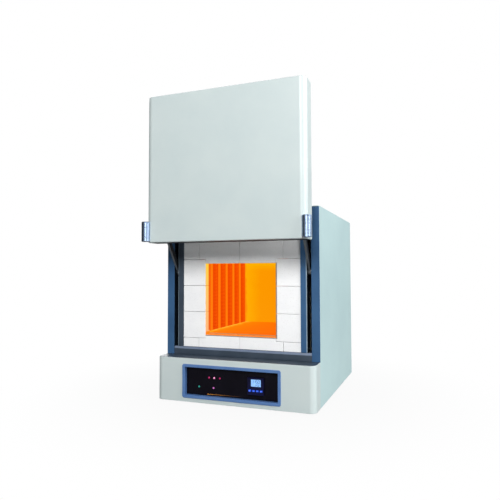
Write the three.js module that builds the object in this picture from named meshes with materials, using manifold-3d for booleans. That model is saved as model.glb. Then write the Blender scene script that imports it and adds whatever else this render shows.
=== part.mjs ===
// Bench-top chamber kiln with a parallel-guided lift door, shown with its door raised.
// Millimetres, +X to the right, +Y to the back, +Z up. While it is modelled, y = 0 is the face of the
// base and z = 0 the bench; the last lines move the origin to the middle of the outline.
import * as THREE from "three";
import { mergeVertices } from "three/addons/utils/BufferGeometryUtils.js";
import Module from "manifold-3d";

const wasm = await Module();
wasm.setup();

// ---- driving dimensions ----
const halfWidth = 243; // base and cabinet
const doorHalf = 240;
const rearY = 595; // back of the cabinet
const footHeight = 5;
const baseTop = 132; // top of the control base
const cabinetTop = 573;
const sheet = 2; // steel sheet of every cover
const gap = 0.3; // clearance between pieces that touch
const cornerRadius = 18; // vertical front corners of the base and the door
const frameY = 60; // front face of posts, sill and head rail
const frameDepth = 32;
const postInner = 187; // inner post, from here to slotInner
const slotInner = 206; // the arms swing in the slot between the posts
const slotOuter = 219;
const sillTop = 156.5;
const brickY = 62; // front face of the white front bricks
const brickDepth = 30;
const mouthHalf = 113; // half width of the chamber mouth
const mouthBottom = 194.5;
const mouthTop = 411.5;
const columnBottom = 184; // the brick columns beside the mouth
const courseHeight = 80;
const brickTop = 488;
const headJoint = 1;
const chamberHalf = 120; // inner face of the heater walls
const blockHalf = 186; // outer face of the insulating blocks
const blockBottom = baseTop + gap;
const chamberFront = brickY + brickDepth + gap;
const chamberBack = 420;
const chamberRoof = 425;
const hearthTop = 202;
const hearthThick = 12;
const backBlock = 65;
const coilPitch = 60;
const coilCount = 5;
const coilRadius = 10.5;
const doorBottom = 471; // raised door
const doorHeight = 430;
const doorFront = -72;
const doorDepth = 58;
const doorDrop = 336; // how far it comes down
const pivotY = 78.3; // fixed pivots of the arms
const lowerPivotZ = 386;
const pivotSpacing = 115;
const armReach = new THREE.Vector2(-108.6, 152.5); // fixed pivot to door pivot, door raised
const armHalfWidth = 8;
const armX = 212.5; // middle of the slot
const pinRadius = 6;
const gripRadius = 13;

// ---- finishes: colour, roughness, metalness ----
const finishes = {
  lightPaint: [0xcdd8d7, 0.4, 0.1],
  bluePaint: [0x44658a, 0.4, 0.2],
  slatePaint: [0x3d4956, 0.45, 0.2],
  galvanised: [0xa9adb0, 0.45, 0.9],
  steel: [0x8b9094, 0.35, 1.0],
  satinAluminium: [0x9db7c6, 0.3, 0.9],
  whiteBrick: [0xf0f0f2, 0.95, 0.0],
  hotBrick: [0xff8a1a, 0.95, 0.0],
  hearth: [0xd98a4a, 0.9, 0.0],
  fibre: [0xf4f2ec, 1.0, 0.0],
  heaterWire: [0xff5200, 0.7, 0.3],
  bezelBlue: [0x5f83b8, 0.35, 0.1],
  blackGloss: [0x14131a, 0.15, 0.0],
  lcd: [0x8fc0f4, 0.2, 0.0],
  buttonBlue: [0x2f4fd8, 0.4, 0.0],
  lamp: [0xe05a9a, 0.3, 0.0],
  blackRubber: [0x1b1b1c, 0.9, 0.0],
  darkPlastic: [0x24262a, 0.5, 0.0],
};

// ---- shape helpers ----
function box(x0, x1, y0, y1, z0, z1) {
  const shape = new THREE.BoxGeometry(x1 - x0, y1 - y0, z1 - z0);
  return shape.translate((x0 + x1) / 2, (y0 + y1) / 2, (z0 + z1) / 2);
}

// A cylinder along one axis, from one end to the other, centred on the two other coordinates.
function rod(axis, radius, from, to, a, b, sides = 20) {
  const shape = new THREE.CylinderGeometry(radius, radius, to - from, sides);
  const middle = (from + to) / 2;
  if (axis === "x") return shape.rotateZ(Math.PI / 2).translate(middle, a, b);
  if (axis === "y") return shape.translate(a, middle, b);
  return shape.rotateX(Math.PI / 2).translate(a, b, middle);
}

// An outline in plan, extruded upwards.
function upright(outline, z0, z1) {
  const options = { depth: z1 - z0, bevelEnabled: false, curveSegments: 5 };
  return new THREE.ExtrudeGeometry(outline, options).translate(0, 0, z0);
}

// An outline seen from the front (x, z), extruded from y0 to y1.
function fromFront(outline, y0, y1) {
  const options = { depth: y1 - y0, bevelEnabled: false, curveSegments: 5 };
  return new THREE.ExtrudeGeometry(outline, options).rotateX(Math.PI / 2).translate(0, y1, 0);
}

// An outline seen from the side (y, z), extruded from x0 to x1.
function fromSide(outline, x0, x1) {
  const options = { depth: x1 - x0, bevelEnabled: false, curveSegments: 8 };
  const turn = new THREE.Matrix4().set(0, 0, 1, x0, 1, 0, 0, 0, 0, 1, 0, 0, 0, 0, 0, 1);
  return new THREE.ExtrudeGeometry(outline, options).applyMatrix4(turn);
}

function polygon(...points) {
  return new THREE.Shape(points.map(([a, b]) => new THREE.Vector2(a, b)));
}

function roundedRectangle(x0, x1, z0, z1, radius) {
  const outline = new THREE.Shape();
  outline.moveTo(x0 + radius, z0);
  outline.lineTo(x1 - radius, z0);
  outline.absarc(x1 - radius, z0 + radius, radius, -Math.PI / 2, 0);
  outline.lineTo(x1, z1 - radius);
  outline.absarc(x1 - radius, z1 - radius, radius, 0, Math.PI / 2);
  outline.lineTo(x0 + radius, z1);
  outline.absarc(x0 + radius, z1 - radius, radius, Math.PI / 2, Math.PI);
  outline.lineTo(x0, z0 + radius);
  outline.absarc(x0 + radius, z0 + radius, radius, Math.PI, Math.PI * 1.5);
  return outline;
}

// The plan of a casing whose two front corners are rounded.
function casingPlan(half, front, back, radius) {
  const outline = new THREE.Shape();
  outline.moveTo(half, back);
  outline.lineTo(-half, back);
  outline.lineTo(-half, front + radius);
  outline.absarc(-half + radius, front + radius, radius, Math.PI, Math.PI * 1.5);
  outline.lineTo(half - radius, front);
  outline.absarc(half - radius, front + radius, radius, -Math.PI / 2, 0);
  outline.lineTo(half, back);
  return outline;
}

function toSolid(geometry) {
  const bare = geometry.clone();
  bare.deleteAttribute("normal");
  bare.deleteAttribute("uv");
  const merged = mergeVertices(bare, 1e-3);
  const vertProperties = new Float32Array(merged.attributes.position.array);
  const triVerts = new Uint32Array(merged.index.array);
  return new wasm.Manifold(new wasm.Mesh({ numProp: 3, vertProperties, triVerts }));
}

function toGeometry(solid) {
  const mesh = solid.getMesh();
  const position = new THREE.BufferAttribute(new Float32Array(mesh.vertProperties), 3);
  const geometry = new THREE.BufferGeometry().setAttribute("position", position);
  geometry.setIndex(new THREE.BufferAttribute(new Uint32Array(mesh.triVerts), 1));
  const flat = geometry.toNonIndexed();
  flat.computeVertexNormals();
  return flat;
}

function cut(body, ...tools) {
  return toGeometry(tools.reduce((left, tool) => left.subtract(toSolid(tool)), toSolid(body)));
}

function join(first, ...others) {
  return toGeometry(others.reduce((all, other) => all.add(toSolid(other)), toSolid(first)));
}

const kiln = new THREE.Group();

function add(name, geometry, finish) {
  const [color, roughness, metalness] = finishes[finish];
  const material = new THREE.MeshStandardMaterial({ color, roughness, metalness });
  const mesh = new THREE.Mesh(geometry, material);
  mesh.name = name;
  kiln.add(mesh);
}

// Runs one maker for the left and the right side; side is -1 or 1.
function bothSides(make) {
  make("left", -1);
  make("right", 1);
}

// A box given for the right side, put on either side.
function sideBox(side, x0, x1, y0, y1, z0, z1) {
  return side > 0 ? box(x0, x1, y0, y1, z0, z1) : box(-x1, -x0, y0, y1, z0, z1);
}

function sideRod(side, radius, x0, x1, y, z, sides = 20) {
  return side > 0 ? rod("x", radius, x0, x1, y, z, sides) : rod("x", radius, -x1, -x0, y, z, sides);
}

// ---- control panel sizes ----
const panelLeft = -157.5;
const panelRight = 146;
const panelBottom = 17;
const panelTop = 115;
const bezelBorder = 8.5;
const bezelProud = 2.5;
const tubeWall = 2;
const plateY = 12;
const controllerX = 70;
const controllerZ = 64;
const controllerHalf = 24; // a standard 48 mm square instrument
const controllerNeck = 22;
const controllerFront = 4;
const flangeDepth = plateY - gap - controllerFront;
const displayDrop = 1.5;
const buttonPitch = 11.3;
const buttonZ = 52;
const buttonHalfWidth = 3.8;
const buttonHalfHeight = 2.6;
const buttonLength = 3.4;
const buttonProud = 1.2;
const lamps = [[-76.5, 77.4], [-60.4, 77.4], [-42.3, 77.4], [-108.8, 49.4], [-62.4, 48.6]];
const lampRadius = 2.6;

// ---- control base ----
function makeBase() {
  const coverBack = frameY - gap;
  const inner = casingPlan(halfWidth - sheet, sheet, coverBack + 1, cornerRadius - sheet);
  const outer = casingPlan(halfWidth, 0, coverBack, cornerRadius);
  const windowLeft = panelLeft + bezelBorder - tubeWall - gap;
  const windowRight = panelRight - bezelBorder + tubeWall + gap;
  const windowBottom = panelBottom + bezelBorder - tubeWall - gap;
  const windowTop = panelTop - bezelBorder + tubeWall + gap;
  const cover = cut(
    upright(outer, footHeight, baseTop),
    upright(inner, footHeight - 1, baseTop + 1),
    box(windowLeft, windowRight, -1, sheet + 1, windowBottom, windowTop),
  );
  add("base_front_cover", cover, "lightPaint");

  const panHalf = halfWidth - sheet - 2 * gap;
  const panFront = sheet + gap;
  const panBack = rearY - sheet - 2 * gap;
  const panRim = 10;
  const panCorner = cornerRadius - sheet;
  const panOutline = casingPlan(panHalf, panFront, panBack, panCorner);
  const panInside = casingPlan(panHalf - sheet, panFront + sheet, panBack - sheet, panCorner - sheet);
  const pan = cut(
    upright(panOutline, footHeight, footHeight + panRim),
    upright(panInside, footHeight + sheet, footHeight + panRim + 1),
  );
  add("base_pan", pan, "galvanised");
  add("base_top_plate", upright(panOutline, baseTop - sheet, baseTop), "slatePaint");

  const footInset = 45;
  const footRadius = 14;
  for (const [row, y] of [["front", footInset], ["rear", rearY - footInset]]) {
    bothSides((sideName, side) => {
      const x = side * (halfWidth - footInset);
      const foot = rod("z", footRadius, 0, footHeight - gap, x, y, 16);
      add(`foot_${row}_${sideName}`, foot, "blackRubber");
    });
  }

  makePowerController();
}

// A solid-state power controller on its finned heat sink, bolted to the pan.
function makePowerController() {
  const left = -70;
  const front = 210;
  const back = 330;
  const finPitch = 12;
  const finCount = 8;
  const finThick = 3;
  const bottom = footHeight + sheet + gap;
  const plateBottom = bottom + 42;
  const plateTop = plateBottom + 8;
  const moduleTop = plateTop + 25;
  const right = left + finPitch * (finCount - 1) + finThick;
  const fins = [];
  for (let i = 0; i < finCount; i += 1) {
    const x = left + i * finPitch;
    fins.push(box(x, x + finThick, front, back, bottom, plateBottom + 1));
  }
  const plate = box(left, right, front, back, plateBottom, plateTop);
  const module = box(left + 20, right - 20, front + 25, front + 85, plateTop - 1, moduleTop);
  add("power_controller", join(plate, module, ...fins), "satinAluminium");
}

function makePanel() {
  const frontOutline = roundedRectangle(panelLeft, panelRight, panelBottom, panelTop, 6);
  const left = panelLeft + bezelBorder;
  const right = panelRight - bezelBorder;
  const bottom = panelBottom + bezelBorder;
  const top = panelTop - bezelBorder;
  const flange = fromFront(frontOutline, -bezelProud, -gap);
  const tube = box(left - tubeWall, right + tubeWall, -1, plateY - gap, bottom - tubeWall, top + tubeWall);
  const window = box(left, right, -bezelProud - 1, plateY, bottom, top);
  add("panel_bezel", cut(join(flange, tube), window), "bezelBlue");

  const backOff = 3;
  const plateBack = plateY + sheet;
  const plate = box(
    panelLeft + backOff, panelRight - backOff, plateY, plateBack, panelBottom + backOff, panelTop - backOff,
  );
  const neck = controllerNeck + gap;
  const neckHole = box(
    controllerX - neck, controllerX + neck, plateY - 1, plateBack + 1, controllerZ - neck, controllerZ + neck,
  );
  const lampHoles = lamps.map(([x, z]) => rod("y", lampRadius + gap, plateY - 1, plateBack + 1, x, z, 12));
  add("control_plate", cut(plate, neckHole, ...lampHoles), "blackGloss");

  const boardY = plateBack + gap;
  const board = box(-122, -30, boardY, boardY + 2, 38, 88);
  const lenses = lamps.map(([x, z]) => rod("y", lampRadius, plateY - 1, boardY + 1, x, z, 12));
  add("indicator_board", join(board, ...lenses), "lamp");
}

function makeController() {
  const half = controllerHalf;
  const flangeBack = controllerFront + flangeDepth;
  const flange = box(
    controllerX - half, controllerX + half, controllerFront, flangeBack,
    controllerZ - half, controllerZ + half,
  );
  const bodyLength = 78;
  const neck = controllerNeck;
  const body = box(
    controllerX - neck, controllerX + neck, flangeBack - 1, flangeBack + bodyLength,
    controllerZ - neck, controllerZ + neck,
  );
  const displayLeft = controllerX - 13;
  const displayRight = controllerX + 16;
  const displayBottom = 64;
  const displayTop = 83.5;
  const displayBack = controllerFront + displayDrop;
  const displayPocket = box(
    displayLeft - gap, displayRight + gap, controllerFront - 1, displayBack + gap,
    displayBottom - gap, displayTop + gap,
  );
  const pocketBack = controllerFront + 5;
  const buttonPockets = [];
  for (let i = 0; i < 4; i += 1) {
    const x = controllerX + (i - 1.5) * buttonPitch;
    const pocket = box(
      x - buttonHalfWidth - gap, x + buttonHalfWidth + gap, controllerFront - 1, pocketBack,
      buttonZ - buttonHalfHeight - gap, buttonZ + buttonHalfHeight + gap,
    );
    buttonPockets.push(pocket);
    const front = controllerFront - buttonProud;
    const button = box(
      x - buttonHalfWidth, x + buttonHalfWidth, front, front + buttonLength,
      buttonZ - buttonHalfHeight, buttonZ + buttonHalfHeight,
    );
    add(`controller_button_${i + 1}`, button, "buttonBlue");
  }
  add("controller_body", cut(join(flange, body), displayPocket, ...buttonPockets), "blackGloss");
  const glass = box(displayLeft, displayRight, controllerFront, displayBack, displayBottom, displayTop);
  add("controller_display", glass, "lcd");
}

// ---- cabinet casing and front frame ----
const topLip = 14; // the top panel's folded edges
const flueX = 62;
const flueZ = 372;
const flueOuter = 15;
const flueInner = 10;
const probeX = 62;
const probeZ = 296;
const probeRadius = 4;
const inletX = -150;
const inletZ = 62;
const rearProud = 4; // how far the inlet and the flue stand out at the back

function makeCasing() {
  const lapBack = frameY + sheet + gap; // the outer posts lap over the front edges of the side panels
  bothSides((sideName, side) => {
    const panel = sideBox(side, halfWidth - sheet, halfWidth, frameY, rearY, footHeight, cabinetTop);
    const postLap = sideBox(side, 0, halfWidth + 1, frameY - 1, lapBack, baseTop, cabinetTop - sheet);
    add(`side_panel_${sideName}`, cut(panel, postLap), "lightPaint");
  });
  const inside = halfWidth - sheet - gap;
  const top = cut(
    box(-inside, inside, frameY, rearY - sheet - gap, cabinetTop - topLip, cabinetTop),
    box(-inside + sheet, inside - sheet, frameY - 1, rearY, cabinetTop - topLip - 1, cabinetTop - sheet),
    box(-inside - 1, inside + 1, frameY - 1, lapBack, cabinetTop - topLip - 1, cabinetTop - sheet),
  );
  add("top_panel", top, "lightPaint");

  const cuts = [
    rod("y", flueOuter + gap, rearY - 5, rearY + 1, flueX, flueZ, 20),
    box(inletX - 24, inletX + 24, rearY - 5, rearY + 1, inletZ - 14, inletZ + 14),
  ];
  const slotCount = 7;
  const slotPitch = 12;
  for (const z0 of [36, 500]) {
    for (const x0 of [-90, 30]) {
      for (let i = 0; i < slotCount; i += 1) {
        const x = x0 + i * slotPitch;
        cuts.push(box(x, x + 4, rearY - 5, rearY + 1, z0, z0 + 45));
      }
    }
  }
  const rear = cut(box(-inside, inside, rearY - sheet, rearY, footHeight, cabinetTop), ...cuts);
  add("rear_panel", rear, "lightPaint");

  const flange = box(inletX - 30, inletX + 30, rearY + gap, rearY + rearProud, inletZ - 19, inletZ + 19);
  const shell = box(inletX - 23, inletX + 23, rearY - 28, rearY + 1, inletZ - 13, inletZ + 13);
  const recess = box(inletX - 13, inletX + 13, rearY - 16, rearY + 5, inletZ - 9, inletZ + 9);
  const blades = [-7, 0, 7].map((offset) => {
    const x = inletX + offset;
    return box(x - 1, x + 1, rearY - 17, rearY, inletZ - 2.5, inletZ + 2.5);
  });
  add("mains_inlet", join(cut(join(flange, shell), recess), ...blades), "darkPlastic");
}

// A post folded from sheet: a front face with a web on each side, open to the back.
function makePost(side, x0, x1, bottom, top, shaftWebs) {
  const wall = sheet;
  const back = frameY + frameDepth;
  const solid = sideBox(side, x0, x1, frameY, back, bottom, top);
  const hollow = sideBox(side, x0 + wall, x1 - wall, frameY + wall, back + 1, bottom - 1, top + 1);
  const holeRadius = pinRadius + gap;
  const holes = [lowerPivotZ, lowerPivotZ + pivotSpacing].map((z, i) => {
    const [from, to] = shaftWebs[i];
    return sideRod(side, holeRadius, from, to, pivotY, z);
  });
  return cut(solid, hollow, ...holes);
}

function makeFrontFrame() {
  const postTop = cabinetTop - sheet - gap;
  bothSides((sideName, side) => {
    const outerWebs = [[slotOuter - 1, slotOuter + 5], [slotOuter - 1, slotOuter + 5]];
    const outerEdge = halfWidth - sheet - gap;
    const lipEdge = outerEdge - sheet - gap;
    const lipBottom = cabinetTop - topLip - 1;
    const lipClear = sideBox(side, lipEdge, outerEdge + 1, frameY - 1, 100, lipBottom, cabinetTop);
    const outer = makePost(side, slotOuter, outerEdge, baseTop + gap, postTop, outerWebs);
    const flange = sideBox(side, slotOuter + 1, halfWidth, frameY, frameY + sheet, baseTop + gap, postTop);
    add(`outer_post_${sideName}`, join(cut(outer, lipClear), flange), "bluePaint");
    const innerWebs = [[slotInner - 5, slotInner + 1], [postInner - 1, slotInner + 1]];
    const inner = makePost(side, postInner + gap, slotInner, sillTop + gap, postTop, innerWebs);
    add(`inner_post_${sideName}`, inner, "bluePaint");
  });

  const back = frameY + frameDepth;
  const wall = 3;
  const sill = fromSide(
    polygon(
      [frameY, baseTop + gap], [frameY + wall, baseTop + gap], [frameY + wall, sillTop - wall],
      [back - wall, sillTop - wall], [back - wall, baseTop + gap], [back, baseTop + gap],
      [back, sillTop], [frameY + 2, sillTop], [frameY, sillTop - 7],
    ),
    -slotOuter + gap, slotOuter - gap,
  );
  add("sill_rail", sill, "slatePaint");

  const headBottom = brickTop + headJoint;
  const head = fromSide(
    polygon(
      [frameY, headBottom], [frameY + sheet, headBottom], [frameY + sheet, postTop - sheet],
      [back, postTop - sheet], [back, postTop], [frameY, postTop],
    ),
    -postInner, postInner,
  );
  add("head_rail", head, "bluePaint");
}

// ---- brickwork and chamber ----
function makeFrontBricks() {
  const back = brickY + brickDepth;
  const columnTop = columnBottom + 3 * courseHeight;
  bothSides((sideName, side) => {
    for (let i = 0; i < 3; i += 1) {
      const z = columnBottom + i * courseHeight;
      const brick = sideBox(side, mouthHalf, postInner, brickY, back, z, z + courseHeight - gap);
      add(`front_brick_${sideName}_${i + 1}`, brick, "whiteBrick");
    }
  });
  const inner = mouthHalf - gap;
  const bottomOutline = polygon(
    [-postInner, sillTop + gap], [postInner, sillTop + gap], [postInner, columnBottom - gap],
    [inner, columnBottom - gap], [inner, mouthBottom], [-inner, mouthBottom],
    [-inner, columnBottom - gap], [-postInner, columnBottom - gap],
  );
  add("front_course_bottom", fromFront(bottomOutline, brickY, back), "whiteBrick");
  const topOutline = polygon(
    [-postInner, columnTop], [-inner, columnTop], [-inner, mouthTop], [inner, mouthTop],
    [inner, columnTop], [postInner, columnTop], [postInner, brickTop], [-postInner, brickTop],
  );
  add("front_course_top", fromFront(topOutline, brickY, back), "whiteBrick");
}

function coilY(index) {
  return chamberBack - 28 - index * coilPitch;
}

// Heater walls carry upright half-round grooves, joined by tunnels near their ends for the links.
function makeHeaterWalls() {
  const grooveRadius = 17;
  const grooveX = chamberHalf + 3;
  const coilX = chamberHalf + 5;
  const bottom = hearthTop + 6;
  const top = chamberRoof - 5;
  const linkRadius = 4;
  const linkX = coilX + 6; // behind the ridges between the grooves
  const tunnelHalf = linkRadius + 1;
  bothSides((sideName, side) => {
    const wallTop = chamberRoof - gap;
    const wall = sideBox(side, chamberHalf, blockHalf, chamberFront, chamberBack, blockBottom, wallTop);
    const tools = [];
    const pieces = [];
    for (let i = 0; i < coilCount; i += 1) {
      const y = coilY(i);
      tools.push(rod("z", grooveRadius, bottom, top, side * grooveX, y, 14));
      pieces.push(rod("z", coilRadius, bottom + 4, top - 4, side * coilX, y, 12));
    }
    const nearY = coilY(coilCount - 1);
    const farY = coilY(0);
    for (const z of [bottom + 12, top - 12]) {
      const low = z - tunnelHalf;
      tools.push(sideBox(side, linkX - tunnelHalf, linkX + tunnelHalf, nearY, farY, low, z + tunnelHalf));
    }
    for (let i = 0; i < coilCount - 1; i += 1) {
      const z = i % 2 === 0 ? top - 12 : bottom + 12;
      pieces.push(rod("y", linkRadius, coilY(i + 1), coilY(i), side * linkX, z, 8));
    }
    add(`heater_wall_${sideName}`, cut(wall, ...tools), "hotBrick");
    add(`heater_${sideName}`, join(...pieces), "heaterWire");
  });
}

function makeChamber() {
  makeHeaterWalls();
  const blockBack = chamberBack + backBlock;
  const roof = box(-blockHalf, blockHalf, chamberFront, chamberBack, chamberRoof, brickTop);
  add("chamber_roof", roof, "hotBrick");

  const flueHole = rod("y", flueOuter + gap, chamberBack, blockBack + 1, flueX, flueZ);
  const probeHole = rod("y", probeRadius + gap, chamberBack, blockBack + 1, probeX, probeZ, 12);
  const backWall = box(-blockHalf, blockHalf, chamberBack + gap, blockBack, blockBottom, brickTop);
  add("chamber_back", cut(backWall, flueHole, probeHole), "hotBrick");

  const blockTop = hearthTop - hearthThick - gap;
  const floorHalf = chamberHalf - gap;
  const floor = box(-floorHalf, floorHalf, chamberFront, chamberBack, blockBottom, blockTop);
  add("hearth_block", floor, "hotBrick");
  const plateHalf = chamberHalf - 1.5;
  const plateLow = hearthTop - hearthThick;
  const plate = box(-plateHalf, plateHalf, chamberFront + 0.7, chamberBack - 1, plateLow, hearthTop);
  add("hearth_plate", plate, "hearth");

  const wrapFront = frameY + frameDepth + 4;
  const wrapBack = rearY - 35;
  const wrapTop = cabinetTop - 16;
  const wrap = fromSide(
    polygon(
      [wrapFront, brickTop + gap], [blockBack + gap, brickTop + gap], [blockBack + gap, blockBottom],
      [wrapBack, blockBottom], [wrapBack, wrapTop], [wrapFront, wrapTop],
    ),
    -blockHalf, blockHalf,
  );
  const flueWay = rod("y", flueOuter + gap, blockBack - 5, wrapBack + 5, flueX, flueZ);
  const probeWay = rod("y", probeRadius + gap, blockBack - 5, wrapBack + 5, probeX, probeZ, 12);
  add("backup_insulation", cut(wrap, flueWay, probeWay), "fibre");

  const flue = cut(
    rod("y", flueOuter, chamberBack + 2, rearY + rearProud, flueX, flueZ),
    rod("y", flueInner, chamberBack, rearY + rearProud + 2, flueX, flueZ),
  );
  add("flue_tube", flue, "whiteBrick");

  const sheath = rod("y", probeRadius, chamberBack - 32, wrapBack + 6, probeX, probeZ, 12);
  const head = box(probeX - 14, probeX + 14, wrapBack + 5, wrapBack + 22, probeZ - 14, probeZ + 14);
  add("thermocouple", join(sheath, head), "whiteBrick");
}

// ---- door ----
const doorTopZ = doorBottom + doorHeight;
const doorRear = doorFront + doorDepth;
const doorPivotY = pivotY + armReach.x;
const doorPivotLow = lowerPivotZ + armReach.y;

function makeDoor() {
  const shellOutline = casingPlan(doorHalf, doorFront, doorRear, cornerRadius);
  const hollow = casingPlan(doorHalf - sheet, doorFront + sheet, doorRear + 1, cornerRadius - sheet);
  const shell = cut(
    upright(shellOutline, doorBottom, doorTopZ),
    upright(hollow, doorBottom + sheet, doorTopZ - sheet),
  );
  add("door_shell", shell, "lightPaint");

  const inset = sheet + gap;
  const linerBack = doorRear - gap;
  const linerFront = linerBack - sheet;
  const packHalf = 176;
  const packBottom = doorBottom + 40;
  const packTop = doorTopZ - 46;
  const slots = [-1, 1].map((side) => sideBox(
    side, slotInner - 1, slotOuter + 1, linerFront - 1, linerBack + 1, doorBottom + 22, doorBottom + 306,
  ));
  const liner = cut(
    box(-doorHalf + inset, doorHalf - inset, linerFront, linerBack, doorBottom + inset, doorTopZ - inset),
    box(-packHalf - gap, packHalf + gap, linerFront - 1, linerBack + 1, packBottom - gap, packTop + gap),
    ...slots,
  );
  add("door_liner", liner, "galvanised");

  // The fibre pack fills the liner's window; its raised middle enters the chamber mouth.
  const rise = doorDrop;
  const mouthClear = 5;
  const plugProud = 14;
  const plugHalf = mouthHalf - mouthClear;
  const packBack = doorRear - gap;
  const pack = box(-packHalf, packHalf, doorFront + sheet + gap, packBack, packBottom, packTop);
  const plugLow = mouthBottom + rise + mouthClear;
  const plugHigh = mouthTop + rise - mouthClear;
  const plug = box(-plugHalf, plugHalf, packBack - 1, doorRear + plugProud, plugLow, plugHigh);
  add("door_insulation", join(pack, plug), "fibre");

  // A square rope seal round the plug bears on the front bricks.
  const sealInside = 5;
  const sealWidth = 12;
  const sealDeep = 3.4;
  const sealHalf = mouthHalf + sealInside;
  const sealLow = mouthBottom + rise - sealInside;
  const sealHigh = mouthTop + rise + sealInside;
  const sealEdge = sealHalf + sealWidth;
  const sealOuter = box(
    -sealEdge, sealEdge, doorRear, doorRear + sealDeep, sealLow - sealWidth, sealHigh + sealWidth,
  );
  const sealHole = box(-sealHalf, sealHalf, doorRear - 1, doorRear + sealDeep + 1, sealLow, sealHigh);
  add("door_seal", cut(sealOuter, sealHole), "fibre");

  makeDoorBrackets();
  makeGrips(shellOutline);
}

// Each bracket is a channel, open to the back, that carries the door ends of two arms.
function makeDoorBrackets() {
  const low = doorPivotLow - 26;
  const high = doorPivotLow + pivotSpacing + 24;
  const front = doorFront + sheet + gap;
  const back = doorRear - sheet - 2 * gap;
  const web = 3;
  const half = 11;
  bothSides((sideName, side) => {
    const holes = [0, pivotSpacing].map((rise) => (
      sideRod(side, pinRadius - 1 + gap, armX - half - 2, armX + half + 2, doorPivotY, doorPivotLow + rise)
    ));
    const bracket = cut(
      sideBox(side, armX - half, armX + half, front, back, low, high),
      sideBox(side, armX - half + web, armX + half - web, front + web, back + 1, low - 1, high + 1),
      ...holes,
    );
    add(`door_bracket_${sideName}`, bracket, "galvanised");
  });
}

// A turned grip stands at each lower front corner, notched to sit on the rounded corner.
function makeGrips(shellOutline) {
  const gripLow = doorBottom + 3;
  const gripHigh = doorBottom + 61;
  const notch = casingPlan(doorHalf + gap, doorFront - gap, doorRear, cornerRadius + gap);
  bothSides((sideName, side) => {
    const grip = rod("z", gripRadius, gripLow, gripHigh, side * doorHalf, doorFront, 28);
    add(`door_grip_${sideName}`, cut(grip, upright(notch, gripLow - 1, gripHigh + 1)), "satinAluminium");
  });
}

// ---- arms ----
// One flat arm with a boss at each end and its door pin. It turns on a fixed pin of its own, or on the
// cross shaft, for which its boss has a hole.
function makeArm(side, fixedZ, ownPivotPin) {
  const half = 3;
  const bossHalf = 4;
  const bossRadius = 11;
  const length = Math.hypot(armReach.x, armReach.y);
  const across = new THREE.Vector2(-armReach.y, armReach.x).multiplyScalar(armHalfWidth / length);
  const fixed = new THREE.Vector2(pivotY, fixedZ);
  const far = fixed.clone().add(armReach);
  const corners = [
    fixed.clone().add(across), fixed.clone().sub(across), far.clone().sub(across), far.clone().add(across),
  ];
  const bar = fromSide(new THREE.Shape(corners), armX - half, armX + half);
  if (side < 0) bar.translate(-2 * armX, 0, 0);
  const boss = (point) => sideRod(side, bossRadius, armX - bossHalf, armX + bossHalf, point.x, point.y);
  const doorPin = sideRod(side, pinRadius - 1, armX - 12.5, armX + 12.5, far.x, far.y, 16);
  const arm = join(bar, boss(fixed), boss(far), doorPin);
  if (!ownPivotPin) return cut(arm, sideRod(side, pinRadius + gap, armX - 6, armX + 6, fixed.x, fixed.y));
  return join(arm, sideRod(side, pinRadius, armX - 9.5, armX + 9.5, fixed.x, fixed.y));
}

function makeLinkage() {
  bothSides((sideName, side) => {
    add(`upper_arm_${sideName}`, makeArm(side, lowerPivotZ + pivotSpacing, false), "steel");
    add(`lower_arm_${sideName}`, makeArm(side, lowerPivotZ, true), "steel");
  });
  const shaftHalf = armX + 9.5;
  add("cross_shaft", rod("x", pinRadius, -shaftHalf, shaftHalf, pivotY, lowerPivotZ + pivotSpacing), "steel");
}

makeBase();
makePanel();
makeController();
makeCasing();
makeFrontFrame();
makeFrontBricks();
makeChamber();
makeDoor();
makeLinkage();

// The origin stands under the middle of the whole outline, on the bench.
const outlineFront = doorFront - gripRadius;
const outlineRear = rearY + rearProud;
kiln.position.y = -(outlineFront + outlineRear) / 2;

export default kiln;
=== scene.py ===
import math

import bmesh
import bpy
from mathutils import Matrix, Vector


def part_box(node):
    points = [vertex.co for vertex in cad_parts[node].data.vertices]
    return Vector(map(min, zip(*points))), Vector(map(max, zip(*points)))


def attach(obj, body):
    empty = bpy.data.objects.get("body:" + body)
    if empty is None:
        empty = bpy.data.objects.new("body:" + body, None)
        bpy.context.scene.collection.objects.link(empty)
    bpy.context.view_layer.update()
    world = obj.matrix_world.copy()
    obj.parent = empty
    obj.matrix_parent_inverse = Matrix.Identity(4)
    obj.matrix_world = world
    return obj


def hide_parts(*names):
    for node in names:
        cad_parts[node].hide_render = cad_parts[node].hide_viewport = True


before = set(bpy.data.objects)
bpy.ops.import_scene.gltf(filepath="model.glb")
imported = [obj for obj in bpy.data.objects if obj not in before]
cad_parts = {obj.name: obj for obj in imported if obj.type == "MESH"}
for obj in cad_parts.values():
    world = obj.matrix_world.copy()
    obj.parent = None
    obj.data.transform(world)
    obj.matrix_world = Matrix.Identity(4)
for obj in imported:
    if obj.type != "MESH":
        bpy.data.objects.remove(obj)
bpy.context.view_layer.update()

# Sizes below are millimetres: x from the middle plane, y from the face of the base, z from the bench.
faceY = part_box("base_front_cover")[0].y


def at(x, y, z):
    return Vector((x / 1000, faceY + y / 1000, z / 1000))


def linear(hexColour):
    values = [int(hexColour[i:i + 2], 16) / 255 for i in (0, 2, 4)]
    return (*[v / 12.92 if v <= 0.04045 else ((v + 0.055) / 1.055) ** 2.4 for v in values], 1)


def addNode(tree, kind, settings=None, inputs=None):
    node = tree.nodes.new(kind)
    for name, value in (settings or {}).items():
        if name == "stops":  # a colour ramp's stops, from low to high
            ramp = node.color_ramp.elements
            while len(ramp) < len(value):
                ramp.new(1)
            for element, (position, colour) in zip(ramp, value):
                element.position = position
                element.color = linear(colour)
        else:
            setattr(node, name, value)
    for name, value in (inputs or {}).items():
        if isinstance(value, bpy.types.NodeSocket):
            tree.links.new(value, node.inputs[name])
        else:
            node.inputs[name].default_value = value
    return node


# camera, light and floor

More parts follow.
